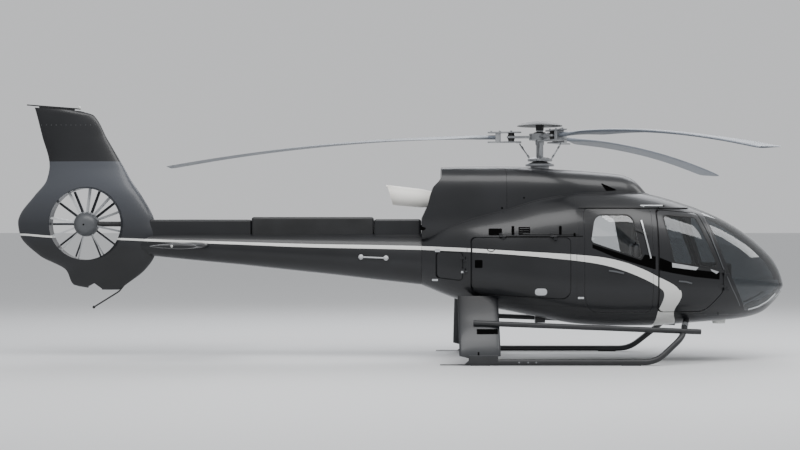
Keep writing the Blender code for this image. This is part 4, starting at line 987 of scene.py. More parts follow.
for name, opening, side, x_from, x_to, body in HOLD_DOORS:
    panel = hull_shell(x_from, x_to, HOLD_WALL,
                       (KEEP, side_cut(door_in(opening), side, -SHUT, 0.1)))
    leaf = piece(name + "_skin", panel, charcoal, body, replaces=name)
    second_finish(leaf, trim_cloth, lining(HOLD_WALL))
print("hull pieces done")

# %% [markdown]
# The doors hang on plain butt hinges: two knuckles end to end on one pin, each with a leaf that
# reaches to its panel. They stand clear of the curved skin, so the pin line stays straight.
# Turned knuckles and bevelled leaves say "hinge" at any distance; one goes with the door.

# %% Front door hinges
KNUCKLE, KNUCKLE_LENGTH, LEAF_BEVEL = 0.012, 0.045, 0.0015
PINS = {joint["name"]: joint for joint in frame["joints"]}
FRONT_HINGE_X, FRONT_HINGE_SIDE, _ = PINS["front_door_left_hinge"]["pos_m"]
FRONT_HINGE_HEIGHTS = (1.02, 1.22)


def between(first, second):
    """A bevelled block between any two opposite corners."""
    low = [min(pair) for pair in zip(first, second)]
    high = [max(pair) for pair in zip(first, second)]
    return block(low, high, LEAF_BEVEL)


def hang(name, door_body, hinge, places):
    """Both halves of a door's hinges; hinge(place, moving) gives the shapes of one half."""
    for half, body in (("fixed", AIRFRAME), ("moving", door_body)):
        leaves = [shape for place in places for shape in hinge(place, half == "moving")]
        piece(f"{name}_{half}", together(*leaves), plain_charcoal, body)


def front_hinge(side, height, moving):
    """Knuckle with its leaf; the moving one is above, its leaf runs aft to the door."""
    y = side * FRONT_HINGE_SIDE
    low = height + FIT / 2 if moving else height - KNUCKLE_LENGTH
    high = height + KNUCKLE_LENGTH if moving else height - FIT / 2
    reach, out, inner = (-0.100, 0.006, -0.012) if moving else (0.060, 0.004, -0.034)
    return (bar((FRONT_HINGE_X, y, low), (FRONT_HINGE_X, y, high), KNUCKLE, 24, bevel=0.002),
            between((FRONT_HINGE_X, y + side * out, low + 0.004),
                    (FRONT_HINGE_X + reach, y + side * inner, high - 0.004)))


for side, word in LEFT_AND_RIGHT:
    hang("front_hinge_" + word, f"front_door_{word}_body", partial(front_hinge, side),
         FRONT_HINGE_HEIGHTS)
print("front hinge pin", round(FRONT_HINGE_X, 3), round(FRONT_HINGE_SIDE, 3))

# %% Baggage door hinges
SIDE_HINGE_HEIGHT, SIDE_HINGES_X = 1.712, (-0.58, 0.10)
SIDE_PIN_X, SIDE_PIN_Y, _ = PINS["side_baggage_left_hinge"]["pos_m"]
SIDE_PIN_WAY = PINS["side_baggage_left_hinge"]["axis"]


def pin_side(x):
    """How far out the side door's pin line is at x."""
    return SIDE_PIN_Y + (x - SIDE_PIN_X) * SIDE_PIN_WAY[1] / SIDE_PIN_WAY[0]


def hold_hinge(side, x, moving):
    """The fixed knuckle lies aft of x with its leaf up, the moving one ahead with it down."""
    near = x + (FIT / 2 if moving else -KNUCKLE_LENGTH)
    far = x + (KNUCKLE_LENGTH if moving else -FIT / 2)
    ends = [(at, side * pin_side(at), SIDE_HINGE_HEIGHT) for at in (near, far)]
    way = -1 if moving else 1
    foot_height = SIDE_HINGE_HEIGHT + way * 0.044
    return (bar(*ends, KNUCKLE, 24, bevel=0.002),
            between((near + 0.004, side * (pin_side(x) + 0.004), SIDE_HINGE_HEIGHT),
                    (far - 0.004, side * (pin_side(x) - 0.010), foot_height)),
            between((near + 0.005, side * pin_side(x), SIDE_HINGE_HEIGHT + way * 0.024),
                    (far - 0.005, side * (hull_side(x, foot_height) - 0.018), foot_height - 0.001)))


REAR_HINGE_X, REAR_HINGE_SIDE, _ = PINS["rear_baggage_hinge"]["pos_m"]
REAR_HINGE_HEIGHTS, REAR_KNUCKLE_LENGTH = (1.24, 1.40), 0.035


def rear_hold_hinge(height, moving):
    """The same pair of knuckles on an upright pin; the door lies aft of it."""
    low = height + (FIT / 2 if moving else -REAR_KNUCKLE_LENGTH)
    high = height + (REAR_KNUCKLE_LENGTH if moving else -FIT / 2)
    reach = -0.056 if moving else 0.050
    x, y = REAR_HINGE_X, REAR_HINGE_SIDE
    return (bar((x, y, low), (x, y, high), KNUCKLE, 24, bevel=0.002),
            between((x, y - 0.004, low + 0.004), (x + reach, y + 0.009, high - 0.004)),
            between((x + reach * 0.55, y, low + 0.005),
                    (x + reach, y + (0.048 if moving else 0.034), high - 0.005)))


for side, word in LEFT_AND_RIGHT:
    hang("side_hold_hinge_" + word, f"side_baggage_{word}_body", partial(hold_hinge, side),
         SIDE_HINGES_X)
hang("rear_hold_hinge", "rear_baggage_body", rear_hold_hinge, REAR_HINGE_HEIGHTS)
print("hinge pins at", round(FRONT_HINGE_SIDE, 4), round(pin_side(0), 4), round(REAR_HINGE_SIDE, 4))

# %% [markdown]
# ## Fittings on the skin
# Window gaskets, handles, latches, vents and service covers are what the eye reads from a step
# away. Each is a thin plate that follows the curved skin: the hull, grown by a few millimetres,
# is kept only inside the plate's outline and cut off just under the skin. Outlines that come
# from the photograph are given by their pixels, and one table lists all plates of a flank.

# %% Plates that follow the skin
UNDER_SKIN = 0.001        # how deep a plate reaches below the skin


def skin_plates(outlines, side, proud, hole=None, grow=0.0):
    """Plates standing proud of the hull inside the outlines, less the hole."""
    xs = [corner[0] for outline in outlines for corner in outline]
    x_from, x_to = min(xs) - 0.05, min(max(xs) + 0.05, NOSE_END)
    steps = [(KEEP, together(*[side_cut(outline, side, grow, 0.1) for outline in outlines]))]
    if hole:
        steps.append((CUT, side_cut(hole, side, 0.0, 0.05)))
    inner = hull_block(x_from - 0.02, min(x_to + 0.02, NOSE_TIP - 0.0005), UNDER_SKIN)
    return carved(hull_block(x_from, x_to, -proud), *steps, (CUT, inner))


# %% Outlines from pixels
def pixel_box(u_from, v_from, u_to, v_to, radius=0.0):
    """The outline on the side of the hull that a box of pixels covers."""
    return [(*on_skin(u, v), radius)
            for u, v in ((u_from, v_to), (u_to, v_to), (u_to, v_from), (u_from, v_from))]


def pixel_line(width, *pixels):
    """A narrow strip along a line of pixels, as one outline."""
    places = [Vector((x, 0, height)) for x, height in (on_skin(u, v) for u, v in pixels)]
    ways = [(b - a).normalized() for a, b in zip(places, places[1:])]
    ways = [ways[0], *[(a + b).normalized() for a, b in zip(ways, ways[1:])], ways[-1]]
    across = [Vector((-way.z, 0, way.x)) * width / 2 for way in ways]
    lower = [place - off for place, off in zip(places, across)]
    upper = [place + off for place, off in zip(places, across)]
    return [(point.x, point.z, 0) for point in (*lower, *upper[::-1])]


def pixel_shape(*pixels):
    """An outline with its corners at given pixels."""
    return [(*on_skin(u, v), 0) for u, v in pixels]


print("one pixel on the skin is", round(on_skin(501, 250)[0] - on_skin(500, 250)[0], 4), "m")


# %% Window gaskets and fittings on both flanks
def level_strip(x_from, x_to, low, high):
    return [(x_from, low, 0), (x_to, low, 0), (x_to, high, 0), (x_from, high, 0)]


GASKET = 0.014
# name, what it rides on, finish, slot, how proud it stands, outlines, then a hole and a growth
FITTINGS = (
    ("front_window_gasket", "front door", rubber, "black_composite", 0.0025, [FRONT_WINDOW],
     FRONT_WINDOW, GASKET),
    ("rear_window_gasket", "hull", rubber, "black_composite", 0.0025, [REAR_WINDOW],
     REAR_WINDOW, GASKET),
    ("roof_gutter", "hull", rubber, "black_composite", 0.009,
     [level_strip(0.46, 1.99, 2.096, 2.106)]),
    ("sliding_rail", "hull", composite, None, 0.008, [level_strip(-0.30, 0.44, 1.742, 1.751)]),
    ("rear_door_trim", "hull", aluminium, "machined_steel", 0.018,
     [[(1.385, 1.42, 0), (1.405, 1.42, 0), (1.292, 1.93, 0), (1.274, 1.93, 0)]]),
    ("front_door_sill", "front door", composite, "black_composite", 0.004,
     [[(1.72, 1.30, 0), (2.34, 1.225, 0), (2.335, 1.262, 0), (1.715, 1.340, 0)]]),
    ("service_plates", "hull", aluminium, "machined_steel", 0.002,
     [pixel_box(461, 271, 467, 273, 0.006), pixel_box(432, 279, 438, 281, 0.006),
      pixel_box(435, 249, 440, 252, 0.006), pixel_box(578, 297, 584, 299, 0.006)]),
    ("side_latches", "hull", shadow, None, 0.012,
     [pixel_box(511.5, 226, 514, 234.5, 0.005), pixel_box(559, 226, 561.5, 234.5, 0.005),
      pixel_box(573.5, 233, 575.5, 236, 0.005)]),
    ("vent_openings", "hull", shadow, "black_composite", 0.0015,
     [pixel_box(488.5, 228.5, 502, 235.3, 0.012), pixel_box(518.5, 227, 530, 234.8, 0.008)]),
    ("vent_louvres", "hull", plain_charcoal, None, 0.010,
     [pixel_line(0.006, (519.5, v), (529, v)) for v in (228.6, 230.8, 233.0)]),
    ("hold_door_hatch", "hold door", shadow, None, 0.0015,
     [pixel_box(474.8, 260, 482.5, 268, 0.015)]),
    ("hold_door_lock", "hold door", rubber, "black_composite", 0.002,
     [pixel_box(486.5, 243, 495.5, 252, 0.058)], pixel_box(487.3, 243.8, 494.7, 251.2, 0.048)),
    ("hold_door_plate", "hold door", aluminium, "machined_steel", 0.003,
     [pixel_box(535, 288.6, 547, 295.4, 0.04)]),
    ("rear_door_handle", "hull", gear_grey, "machined_steel", 0.012,
     [pixel_line(0.022, (609, 270.6), (616, 271.6), (624, 273.4))]),
    ("front_door_handle", "front door", gear_grey, "machined_steel", 0.010,
     [pixel_line(0.020, (679, 281.2), (686, 281.8), (692, 283.4))]),
    ("rear_door_latch", "hull", composite, None, 0.016,
     [pixel_line(0.034, (635.5, 229), (642, 231.5), (648.5, 235))]),
    ("shoulder_seam", "hull", shadow, "black_composite", 0.0012,
     [pixel_line(0.010, (503, 236.3), (583, 236.3))]),
    # A strip of bare aluminium along the chin is a painted highlight of the glossy chin.
    ("chin_rim", "hull", aluminium, "machined_steel", 0.002,
     [pixel_line(0.022, (748, 309.5), (758, 306.5), (768, 300.5), (775, 293.5))]),
    ("post_edge", "hull", gear_grey, "machined_steel", 0.0015,
     [pixel_line(0.010, (703.5, 217), (713.5, 243), (722.5, 266), (732.5, 289), (740, 306))]),
    ("window_cill", "front door", aluminium, "machined_steel", 0.005,
     [pixel_shape((672.3, 267.3), (696, 270.3), (698.5, 267.3), (672, 262.8)),
      pixel_shape((716.5, 274), (718.8, 271.8), (710.5, 269), (711.5, 271))]),
    ("belt_band_rear", "hull", shadow, "black_composite", 0.0008,
     [pixel_shape((592.5, 248), (615, 257.5), (640, 265), (655.7, 269.5), (655.7, 256.5),
                  (645, 254.5), (641, 260.2), (592.5, 244.2))]),
    ("belt_band_front", "front door", shadow, "black_composite", 0.0008,
     [pixel_shape((659.6, 270.3), (672, 273), (695, 277), (719.5, 279.5), (719.8, 270.5),
                  (700, 268), (672, 262.5), (659.6, 257.5))]),
    ("skin_seams", "hull", rubber, "black_composite", 0.0006,
     [pixel_line(0.005, (576.5, 238), (576.5, 300)), pixel_line(0.005, (467, 240), (467, 262)),
      pixel_line(0.005, (500, 302.5), (540, 305.5), (583, 307))]),
)
for side, word in LEFT_AND_RIGHT:
    bodies = {"hull": AIRFRAME, "front door": f"front_door_{word}_body",
              "hold door": f"side_baggage_{word}_body"}
    for name, rides_on, finish, slot, proud, outlines, *hole_and_growth in FITTINGS:
        piece(f"{name}_{word}", skin_plates(outlines, side, proud, *hole_and_growth), finish,
              bodies[rides_on], slot=slot)

# %% [markdown]
# Above the pillar between the doors a short grab rail stands on two posts that sink into the
# roof.

# %% Roof rail
RAIL_X, RAIL_HEIGHT, RAIL_POSTS_X = (1.298, 1.603), 2.127, (1.34, 1.56)
POST_HEIGHT = 2.10
for side, word in LEFT_AND_RIGHT:
    rail_y = side * (hull_side(1.42, 2.135) + 0.035)
    rail = bar(*[(x, rail_y, RAIL_HEIGHT) for x in RAIL_X], 0.011, 16, bevel=0.003)
    posts = [bar((x, rail_y, RAIL_HEIGHT),
                 (x, side * hull_side(x, POST_HEIGHT) * 0.98, POST_HEIGHT), 0.009)
             for x in RAIL_POSTS_X]
    piece("roof_rail_" + word, together(rail, *posts), aluminium, slot="machined_steel")
    piece("roof_rail_tip_" + word, ball((1.613, rail_y, 2.125), 0.016), rubber,
          slot="black_composite")
print("rail at", round(rail_y, 3))

# %% [markdown]
# ## Cowlings
# A transmission cowling in front of the mast and an engine cowling behind it, both composite
# shells. One loft gives them both; the front one gets a triangular air inlet on each flank,
# which is a pocket cut into the shell with a dark screen set behind it.

# %% Cowling loft
# x, top height, half width
COWL = ((-1.70, 2.660, 0.400), (-1.385, 2.672, 0.430), (-0.95, 2.682, 0.500),
        (-0.50, 2.682, 0.540), (0.284, 2.640, 0.530), (0.845, 2.597, 0.500),
        (1.100, 2.570, 0.470), (1.266, 2.512, 0.420), (1.510, 2.270, 0.330))
COWL_FOOT = 1.60          # sections reach down into the fuselage and are cut by it
COWL_SQUARE = 3.2
COWL_WALL = 0.020
COWL_SPLIT_X = -0.50
COWL_BROW_X = 1.2         # from here forward the wall is also measured along X
# Side view of the aft end: x, height, corner radius
COWL_BACK = ((-1.658, 1.50, 0), (-1.658, 1.96, 0.04), (-1.575, 2.140, 0.05), (-1.540, 2.290, 0.05),
             (-1.495, 2.400, 0.05), (-1.420, 2.475, 0.04), (-1.385, 2.530, 0.03),
             (-1.385, 2.900, 0), (2.0, 2.900, 0), (2.0, 1.50, 0))
cowl_at = smooth_table(COWL)


def cowl_point(x, turn, inset=0.0):
    top, half = cowl_at(x)
    middle = (top + COWL_FOOT) / 2
    return Vector((x - (inset if x > COWL_BROW_X else 0),
                   (half - inset) * power(math.cos(turn), 2 / COWL_SQUARE),
                   middle + (top - inset - middle) * power(math.sin(turn), 2 / COWL_SQUARE)))


def cowl_side(x, height):
    top, half = cowl_at(x)
    middle = (top + COWL_FOOT) / 2
    share = min(abs(height - middle) / (top - middle), 1.0)
    return half * (1 - share ** COWL_SQUARE) ** (1 / COWL_SQUARE)


def cowl_block(inset=0.0):
    first, last = COWL[0][0], COWL[-1][0]
    return skin(90, 96, lambda t, turn: cowl_point(first + (last - first) * t, turn, inset))


def cowl_inside():
    return carved(cowl_block(COWL_WALL), (KEEP, prism(COWL_BACK, -0.8, 0.8, -COWL_WALL)))


# %% Air inlets and cowlings
INLET = ((0.787, 2.450, 0.012), (0.869, 2.330, 0.012), (1.035, 2.340, 0.012))
mast_hole = bar((0, 0, 2.3), (0, 0, 3.0), 0.138, 48)
inlets = together(prism(INLET, 0.3, 0.7), prism(INLET, -0.7, -0.3))
piece("transmission_cowling_skin",
      carved(cowl_block(), (KEEP, room(COWL_SPLIT_X + SEAM, FAR)), (CUT, cowl_inside()),
             (CUT, hull_block(-1.2, 2.0, -FIT)), (CUT, mast_hole),
             (CUT, inlets)),
      charcoal, replaces="transmission_cowling")
inlet_screens = [carved(prism(INLET, side * 0.3, side * 0.7, 0.004), (KEEP, cowl_block(0.014)),
                        (CUT, cowl_block(0.018))) for side, _ in LEFT_AND_RIGHT]
piece("inlet_screens", together(*inlet_screens), shadow)

EXHAUST_ROOT = Vector((-1.42, 0, 2.215))
EXHAUST_TILT = math.radians(6.0)      # the open end is higher
EXHAUST_WAY = Vector((-math.cos(EXHAUST_TILT), 0, math.sin(EXHAUST_TILT)))
along_exhaust = (Matrix.Translation(EXHAUST_ROOT)
                 @ EXHAUST_WAY.to_track_quat("Z", "Y").to_matrix().to_4x4())
piece("engine_cowling_skin",
      carved(cowl_block(), (KEEP, room(-FAR, COWL_SPLIT_X)),
             (KEEP, prism(COWL_BACK, -1, 1)), (CUT, cowl_inside()),
             (CUT, hull_block(BOOM_JOINT_X, 0.0, -FIT)),
             (CUT, moved(bar((0, 0, -0.3), (0, 0, 0.3), 0.120, 48), along_exhaust))),
      charcoal, replaces="engine_cowling")
foot = carved(hull_block(-1.60, 1.60, -0.006), (KEEP, cowl_block(-0.016)),
              (CUT, hull_block(-1.64, 1.64, 0.001)), (CUT, cowl_block(-0.0005)))
piece("cowling_foot_flange", foot, plain_charcoal)
print("cowlings", cowl_at(0.0))

# %% [markdown]
# Round latches hold the cowlings down and a drain opens on each flank. Each is a bar that
# starts just inside the skin and ends a few millimetres outside it, at the place where the
# photograph shows it.

# %% Small things on the cowlings
def stud(u, v, side, side_at, sunk, proud, *sizes, bevel=0.0):
    """A round head in a flank at a pixel's place; sunk is where it starts, as a share of y."""
    x, height = on_skin(u, v, side_at)
    y = side * side_at(x, height)
    return bar((x, y * sunk, height), (x, y + side * proud, height), *sizes, bevel=bevel)


studs = []
for side, _ in LEFT_AND_RIGHT:
    studs += [stud(u, v, side, cowl_side, 0.985, 0.004, radius, 24, bevel=0.001)
              for u, v, radius in ((524, 197.8, 0.012), (502, 208, 0.014), (486, 229.5, 0.010))]
    studs.append(stud(423, 227.5, side, cowl_side, 0.96, 0.002, 0.040, 32))
piece("cowling_studs", together(*studs), shadow, slot="black_composite")
print("studs", len(studs))

# %% [markdown]
# The exhaust is a thin pipe, turned about its own axis and cut off on a slant. Its profile is
# a closed wall: outside from root to lip, inside back again. The soot inside is a second,
# thinner sleeve set just inside the wall.

# %% Exhaust
PIPE_ROWS = ((-0.060, 0.112), (0.100, 0.112), (0.140, 0.114), (0.190, 0.122), (0.230, 0.128),
             (0.280, 0.130), (0.750, 0.136))
PIPE_WALL = 0.005
SLANT = ((-2.134, 2.40, 0), (-2.030, 2.05, 0), (-3.0, 2.05, 0), (-3.0, 2.40, 0))


def pipe_wall(outer, inner):
    wall = [(radius - outer, at) for at, radius in PIPE_ROWS]
    wall += [(radius - inner, at) for at, radius in PIPE_ROWS[::-1]]
    pipe = moved(spun(wall, 64), along_exhaust)
    return carved(pipe, (CUT, prism(SLANT, -0.5, 0.5)))


piece("exhaust_pipe_skin", pipe_wall(0.0, PIPE_WALL), ceramic, replaces="exhaust_pipe")
piece("exhaust_soot", pipe_wall(PIPE_WALL + 0.0002, PIPE_WALL + 0.0012), soot,
      slot="heat_resistant_white")
clamp = spun(((0.1125, 0.085), (0.122, 0.088), (0.122, 0.112), (0.1125, 0.115)), 64)
piece("exhaust_clamp", moved(clamp, along_exhaust), peened_steel, slot="machined_steel")
print("pipe rows", len(PIPE_ROWS))

# %% [markdown]
# ## Tail boom and fin
# The boom is a tapering tube, so one loft over its few measured stations is enough. The
# covers over the tail drive shaft are long boxes with rounded edges that sink into the boom.

# %% Boom and spine covers
def boom_block(inset=0.0, spare=0.0):
    start, end = BOOM_JOINT_X + spare, BOOM_END_X - spare
    return skin(90, 72, lambda t, turn: boom_point(start + (end - start) * t, turn, inset))


piece("tail_boom_skin", carved(boom_block(), (KEEP, room(-FAR * 2, BOOM_JOINT_X - SEAM))),
      charcoal, replaces="tail_boom")
# name, front x, aft x, top height, half width
SPINE = (("spine_fairing", BOOM_JOINT_X - SEAM, -2.325, 1.950, 0.120),
         ("driveshaft_cover", -2.325, -4.036, 1.979, 0.105),
         ("spine_aft_cover", -4.036, -5.470, 1.944, 0.095))


def fin_block(inset=0.0):
    low, high = FIN[0][0], FIN[-1][0]
    return skin(110, 96, lambda t, turn: fin_point(low + (high - low) * t, turn, inset))


for name, front, back, top, half in SPINE:
    cover = block((back + SEAM / 2, -half, 1.62), (front - SEAM / 2, half, top), 0.034, 5)
    cuts = [(CUT, boom_block(-FIT, 0.05))]
    if name == "spine_aft_cover":
        cuts.append((CUT, fin_block(-FIT)))
    finish = composite if name == "driveshaft_cover" else charcoal
    piece(name + "_skin", carved(cover, *cuts), finish, replaces=name)
print("boom and covers", BOOM_JOINT_X, BOOM_END_X)

# %% [markdown]
# Fin and shroud are one composite form, 0.4 m thick round the duct and thin above. The duct is
# a turned cutter with a flaring mouth on both sides, as a bell mouth steers the air.

# %% Fin and duct
DUCT_X, DUCT_HEIGHT, DUCT_RADIUS = -6.355, 1.88, 0.50
# distance from the middle, radius
MOUTH = ((0.13, DUCT_RADIUS), (0.19, 0.545), (0.30, 0.620), (0.50, 0.660))
across_duct = (Matrix.Translation((DUCT_X, 0, DUCT_HEIGHT))
               @ Matrix.Rotation(math.radians(90), 4, "X"))
mouth_at = smooth_table(MOUTH)
mouth = [(mouth_at(0.13 + 0.37 * k / 24)[0], 0.13 + 0.37 * k / 24) for k in range(25)]
duct = spun([(0, 0.50), *mouth[::-1], *[(radius, -out) for radius, out in mouth], (0, -0.50)], 96)
NOTCH_PIXELS = ((86.5, 292), (103, 292), (102, 288.2), (95, 283), (89, 286.3))
notch = [(*photo_place(u, v), 0) for u, v in NOTCH_PIXELS]
fin = carved(fin_block(), (CUT, moved(duct, across_duct)), (CUT, prism(notch, -0.3, 0.3)),
             (CUT, boom_block(-FIT, 0.0)))
tip_plate = prism(((-7.19, 3.542, 0), (-6.44, 3.484, 0), (-6.44, 3.500, 0), (-7.19, 3.558, 0)),
                  -0.012, 0.012)
tip_foot = prism(((-7.02, 3.480, 0), (-6.52, 3.440, 0), (-6.52, 3.490, 0), (-7.02, 3.530, 0)),
                 -0.010, 0.010)
# The shroud's enamel carries a painted sky reflection and painted shade below the fin's joint.
piece("fin_and_shroud_skin", together(fin, tip_foot, tip_plate), shroud_enamel,
      replaces="fin_and_shroud")
print("duct radius", DUCT_RADIUS)

# %% [markdown]
# A row of rivets closes the seam across the fin, and a flashing light sits on its tip.

# %% Fin rivets and strobe
RIVET_V, RIVETS_U = 125.0, [41.5 + 4.9 * k for k in range(12)]
for side, word in LEFT_AND_RIGHT:
    rivets = [stud(u, RIVET_V, side, fin_side, 0.97, 0.002, 0.006, 12, 0.005) for u in RIVETS_U]
    piece("fin_rivets_" + word, together(*rivets), gear_grey, slot="machined_steel")
strobe = together(ball((-6.455, 0, 3.514), 0.018, 24),
                  bar((-6.455, 0, 3.498), (-6.455, 0, 3.512), 0.022, 24))
piece("fin_strobe", strobe, clear_lens, slot="lamp_lens")
print("rivets on each side", len(RIVETS_U))

# %% [markdown]
# Ten fixed vanes hold the tail gear housing. Each vane is a streamlined strip: a flat lens of
# points, carried along a straight skin, then turned to its pitch and direction. The blades of
# the tail rotor are the same strip, thinner and unevenly spaced, as the real ones are to spread
# their whine over many tones.

# %% Stator and tail rotor
STATOR_SIDE, ROTOR_SIDE = 0.05, -0.075      # how far to starboard their middles are
VANE_ANGLES = (118, 83, 48, 20, -12, -60, -102, -133, -160, 170)
TAIL_BLADE_ANGLES = (0, 38, 70, 112, 143, 180, 218, 250, 292, 323)
VANE_SECTION = ((-1.0, 0.0), (-0.9, 0.35), (-0.6, 0.75), (-0.2, 1.0), (0.2, 0.95), (0.6, 0.6),
                (1.0, 0.05))


def lens_blade(inner, outer, chords, thick, pitch, angle, level):
    """A tapered, streamlined blade along X, then pitched, turned about Z and raised."""
    section = [*VANE_SECTION, *[(a, -b) for a, b in VANE_SECTION[-2:0:-1]]]

    def place(t, turn):
        a, b = section[round(turn / math.tau * len(section)) % len(section)]
        chord = chords[0] + (chords[1] - chords[0]) * t
        return Vector((inner + (outer - inner) * t, a * chord / 2, b * thick / 2))
    blade = skin(6, len(section), place)
    turn = Matrix.Rotation(math.radians(angle), 4, "Z") @ Matrix.Translation((0, 0, level))
    return moved(blade, turn @ Matrix.Rotation(math.radians(pitch), 4, "X"))


housing = spun(((0, 0.165), (0.037, 0.163), (0.069, 0.157), (0.101, 0.145), (0.125, 0.128),
                (0.146, 0.105), (0.161, 0.080), (0.171, 0.055), (0.175, 0.030), (0.175, -0.020),
                (0, -0.020)), 64)
piece("tail_stator_housing", moved(housing, across_duct), gear_grey, replaces="tail_stator")
vanes = [lens_blade(0.165, DUCT_RADIUS - FIT, (0.07, 0.07), 0.014, 64, angle, STATOR_SIDE)
         for angle in VANE_ANGLES]
piece("tail_stator_vanes", moved(together(*vanes), across_duct), vane_paint, slot="black_composite")
plug_x, plug_height = photo_place(83.5, 224.5, -0.16)
filler_plug = bar((plug_x, -0.150, plug_height), (plug_x, -0.1685, plug_height), 0.012, 16)
piece("tail_housing_plug", filler_plug, shadow, slot="black_composite")
drains = [ball((x, 0, height), 0.020, 16, (1, 1.6, 1))
          for x, height in (photo_place(124.5, 283), photo_place(133, 277.5))]
piece("shroud_drain_stubs", together(*drains), gear_grey, slot="machined_steel")
shaft_fairing = bar((0.168, 0, 0.04), (DUCT_RADIUS - FIT, 0, 0.04), 0.036, 24)
piece("tail_shaft_fairing", moved(shaft_fairing, across_duct), composite)
hub = spun(((0, -0.0203), (0.05, -0.0203), (0.05, -0.030), (0.140, -0.030), (0.148, -0.036),
            (0.150, -0.050), (0.150, -0.120), (0.135, -0.140), (0.10, -0.160), (0, -0.170)), 64)
piece("tail_rotor_hub", moved(hub, across_duct), dark_steel, "tail_rotor_body",
      replaces="tail_rotor")
tail_blades = [lens_blade(0.12, 0.488, (0.055, 0.050), 0.012, 50, angle, ROTOR_SIDE)
               for angle in TAIL_BLADE_ANGLES]
piece("tail_rotor_blades", moved(together(*tail_blades), across_duct), dark_steel,
      "tail_rotor_body", slot="machined_steel")
print("vanes", len(VANE_ANGLES), "tail blades", len(TAIL_BLADE_ANGLES))

# %% [markdown]
# The stabiliser is a short wing through the boom, with a nose fuller than its tail and a
# rounded tip. Under the shroud a springy guard rod with a ball keeps the fin off the ground.

# %% Stabilisers and tail guard
STABILISER = ((0.10, -4.620, -5.250, 0.038), (1.330, -4.640, -5.260, 0.034),
              (1.350, -4.650, -5.254, 0.028), (1.362, -4.672, -5.244, 0.014),
              (1.365, -4.700, -5.230, 0.004))
STABILISER_HEIGHT = 1.585
stabiliser_at = smooth_table(STABILISER)
for side, word in LEFT_AND_RIGHT:
    def place(t, turn):
        out = 0.10 + 1.23 * t / 0.8 if t < 0.8 else 1.33 + 0.035 * (t - 0.8) / 0.2
        lead, trail, half = stabiliser_at(out)
        full = 1 + 0.45 * math.cos(turn)
        return Vector(((lead + trail) / 2 + (lead - trail) / 2 * math.cos(turn), side * out,
                       STABILISER_HEIGHT + half * full * math.sin(turn)))
    piece(f"stabiliser_{word}_skin", carved(skin(30, 48, place), (CUT, boom_block(-FIT))),
          plain_charcoal, replaces="stabiliser_" + word)
    lamp = ball((-4.96, side * 1.352, STABILISER_HEIGHT), 0.020, 24)
    piece("position_light_" + word, lamp, clear_lens, slot="lamp_lens")
    ends = [Vector((x, side * (boom_side(x, height) + 0.022), height))
            for x, height in (on_skin(361, 257, boom_side), on_skin(386, 258, boom_side))]
    handle = together(*[ball(end, 0.036, 24) for end in ends], bar(*ends, 0.010, 16))
    piece("boom_handle_" + word, handle, vane_paint, slot="grey_gear_paint")
guard_path = bent_path(((-5.78, 0, 1.085, 0), (-5.90, 0, 0.935, 0.03), (-6.252, 0, 0.716, 0)))
guard = carved(tube(guard_path, 0.011, 16), (CUT, fin_block(-FIT)))
piece("tail_skid_rod", together(guard, ball((-6.252, 0, 0.716), 0.022, 24)), composite,
      replaces="tail_skid")
print("guard path points", len(guard_path))

# %% [markdown]
# ## Landing gear
# The skid tubes are bent aluminium under a black powder coat; each runs level, turns up at the
# front and in to the belly. The aft legs are streamlined fairings, the boarding steps plain
# round tubes between leg and skid.

# %% Shapes of skids, legs and steps
SKID_SIDE, SKID_RADIUS = 1.20, 0.040
SKID_LEVEL = SKID_RADIUS + 0.006
STEP_SIDE, STEP_RADIUS = 0.98, 0.036
STEP_AFT, STEP_FRONT = (-0.975, 0.553), (2.070, 0.434)
LEG_X = (-1.175, -0.625)
SHOES_X = (-0.90, 1.10)
# Side view of what is cut off: the slanted aft end of a skid tube, and below a leg's fairing
SKID_SLANT = ((-1.180, -0.05, 0), (-0.904, 0.20, 0), (-1.400, 0.20, 0), (-1.400, -0.05, 0))
LEG_HEM = ((-1.300, -0.10, 0), (-0.500, -0.10, 0), (-0.500, 0.135, 0), (-0.640, 0.125, 0.1),
           (-0.900, 0.082, 0.3), (-1.040, 0.098, 0.2), (-1.175, 0.130, 0), (-1.300, 0.140, 0))
# height, distance out, half thickness
LEG_ROWS = ((0.90, 0.60, 0.060), (0.60, 0.86, 0.055), (0.30, 1.10, 0.050), (0.10, 1.195, 0.045),
            (0.055, 1.20, 0.044))
leg_at = smooth_table(LEG_ROWS)
# Dark patches on a leg's outer face as boxes of pixels: a painted shadow of the step, then a slot;
# and how high its saddle shows
LEG_SLOT_AND_STEP_SHADOW = ((477, 329.5, 498.5, 334.5), (477.3, 351.5, 479, 356.5))
LEG_FACE_SIDE = 1.12
SADDLE_TOP = 0.120
# x, distance out, height, bend reach; from the last bend the tube runs up into the belly
SKID_ROWS = ((-1.125, SKID_SIDE, SKID_LEVEL, 0), (1.43, SKID_SIDE, SKID_LEVEL, 0.16),
             (1.80, 1.06, 0.36, 0.12), (1.97, 0.52, 0.62, 0))


def skid_path(side):
    return bent_path([(x, side * out, height, reach) for x, out, height, reach in SKID_ROWS])


def step_bar(side, grow=0.0):
    start, end = ((x, side * STEP_SIDE, height) for x, height in (STEP_AFT, STEP_FRONT))
    return bar(start, end, STEP_RADIUS + grow, 32, bevel=0 if grow else 0.006)


def leg_block(side, grow=0.0):
    def place(t, turn):
        height = 0.055 + 0.845 * t
        out, half = leg_at(height)
        along = (LEG_X[1] - LEG_X[0]) / 2 * power(math.cos(turn), 0.7)
        return Vector((sum(LEG_X) / 2 + along, side * out + (half + grow) * math.sin(turn), height))
    return skin(30, 64, place)


def leg_face_patch(u_from, v_from, u_to, v_to):
    """The outline on a leg's outer face that a box of pixels covers."""
    return [(*photo_place(u, v, -LEG_FACE_SIDE), 0.004)
            for u, v in ((u_from, v_to), (u_to, v_to), (u_to, v_from), (u_from, v_from))]


def flat_bar(side, x_from, x_to, half, low, high, bevel):
    """A block that lies along a skid, across its middle."""
    return block((x_from, side * SKID_SIDE - half, low), (x_to, side * SKID_SIDE + half, high),
                 bevel)


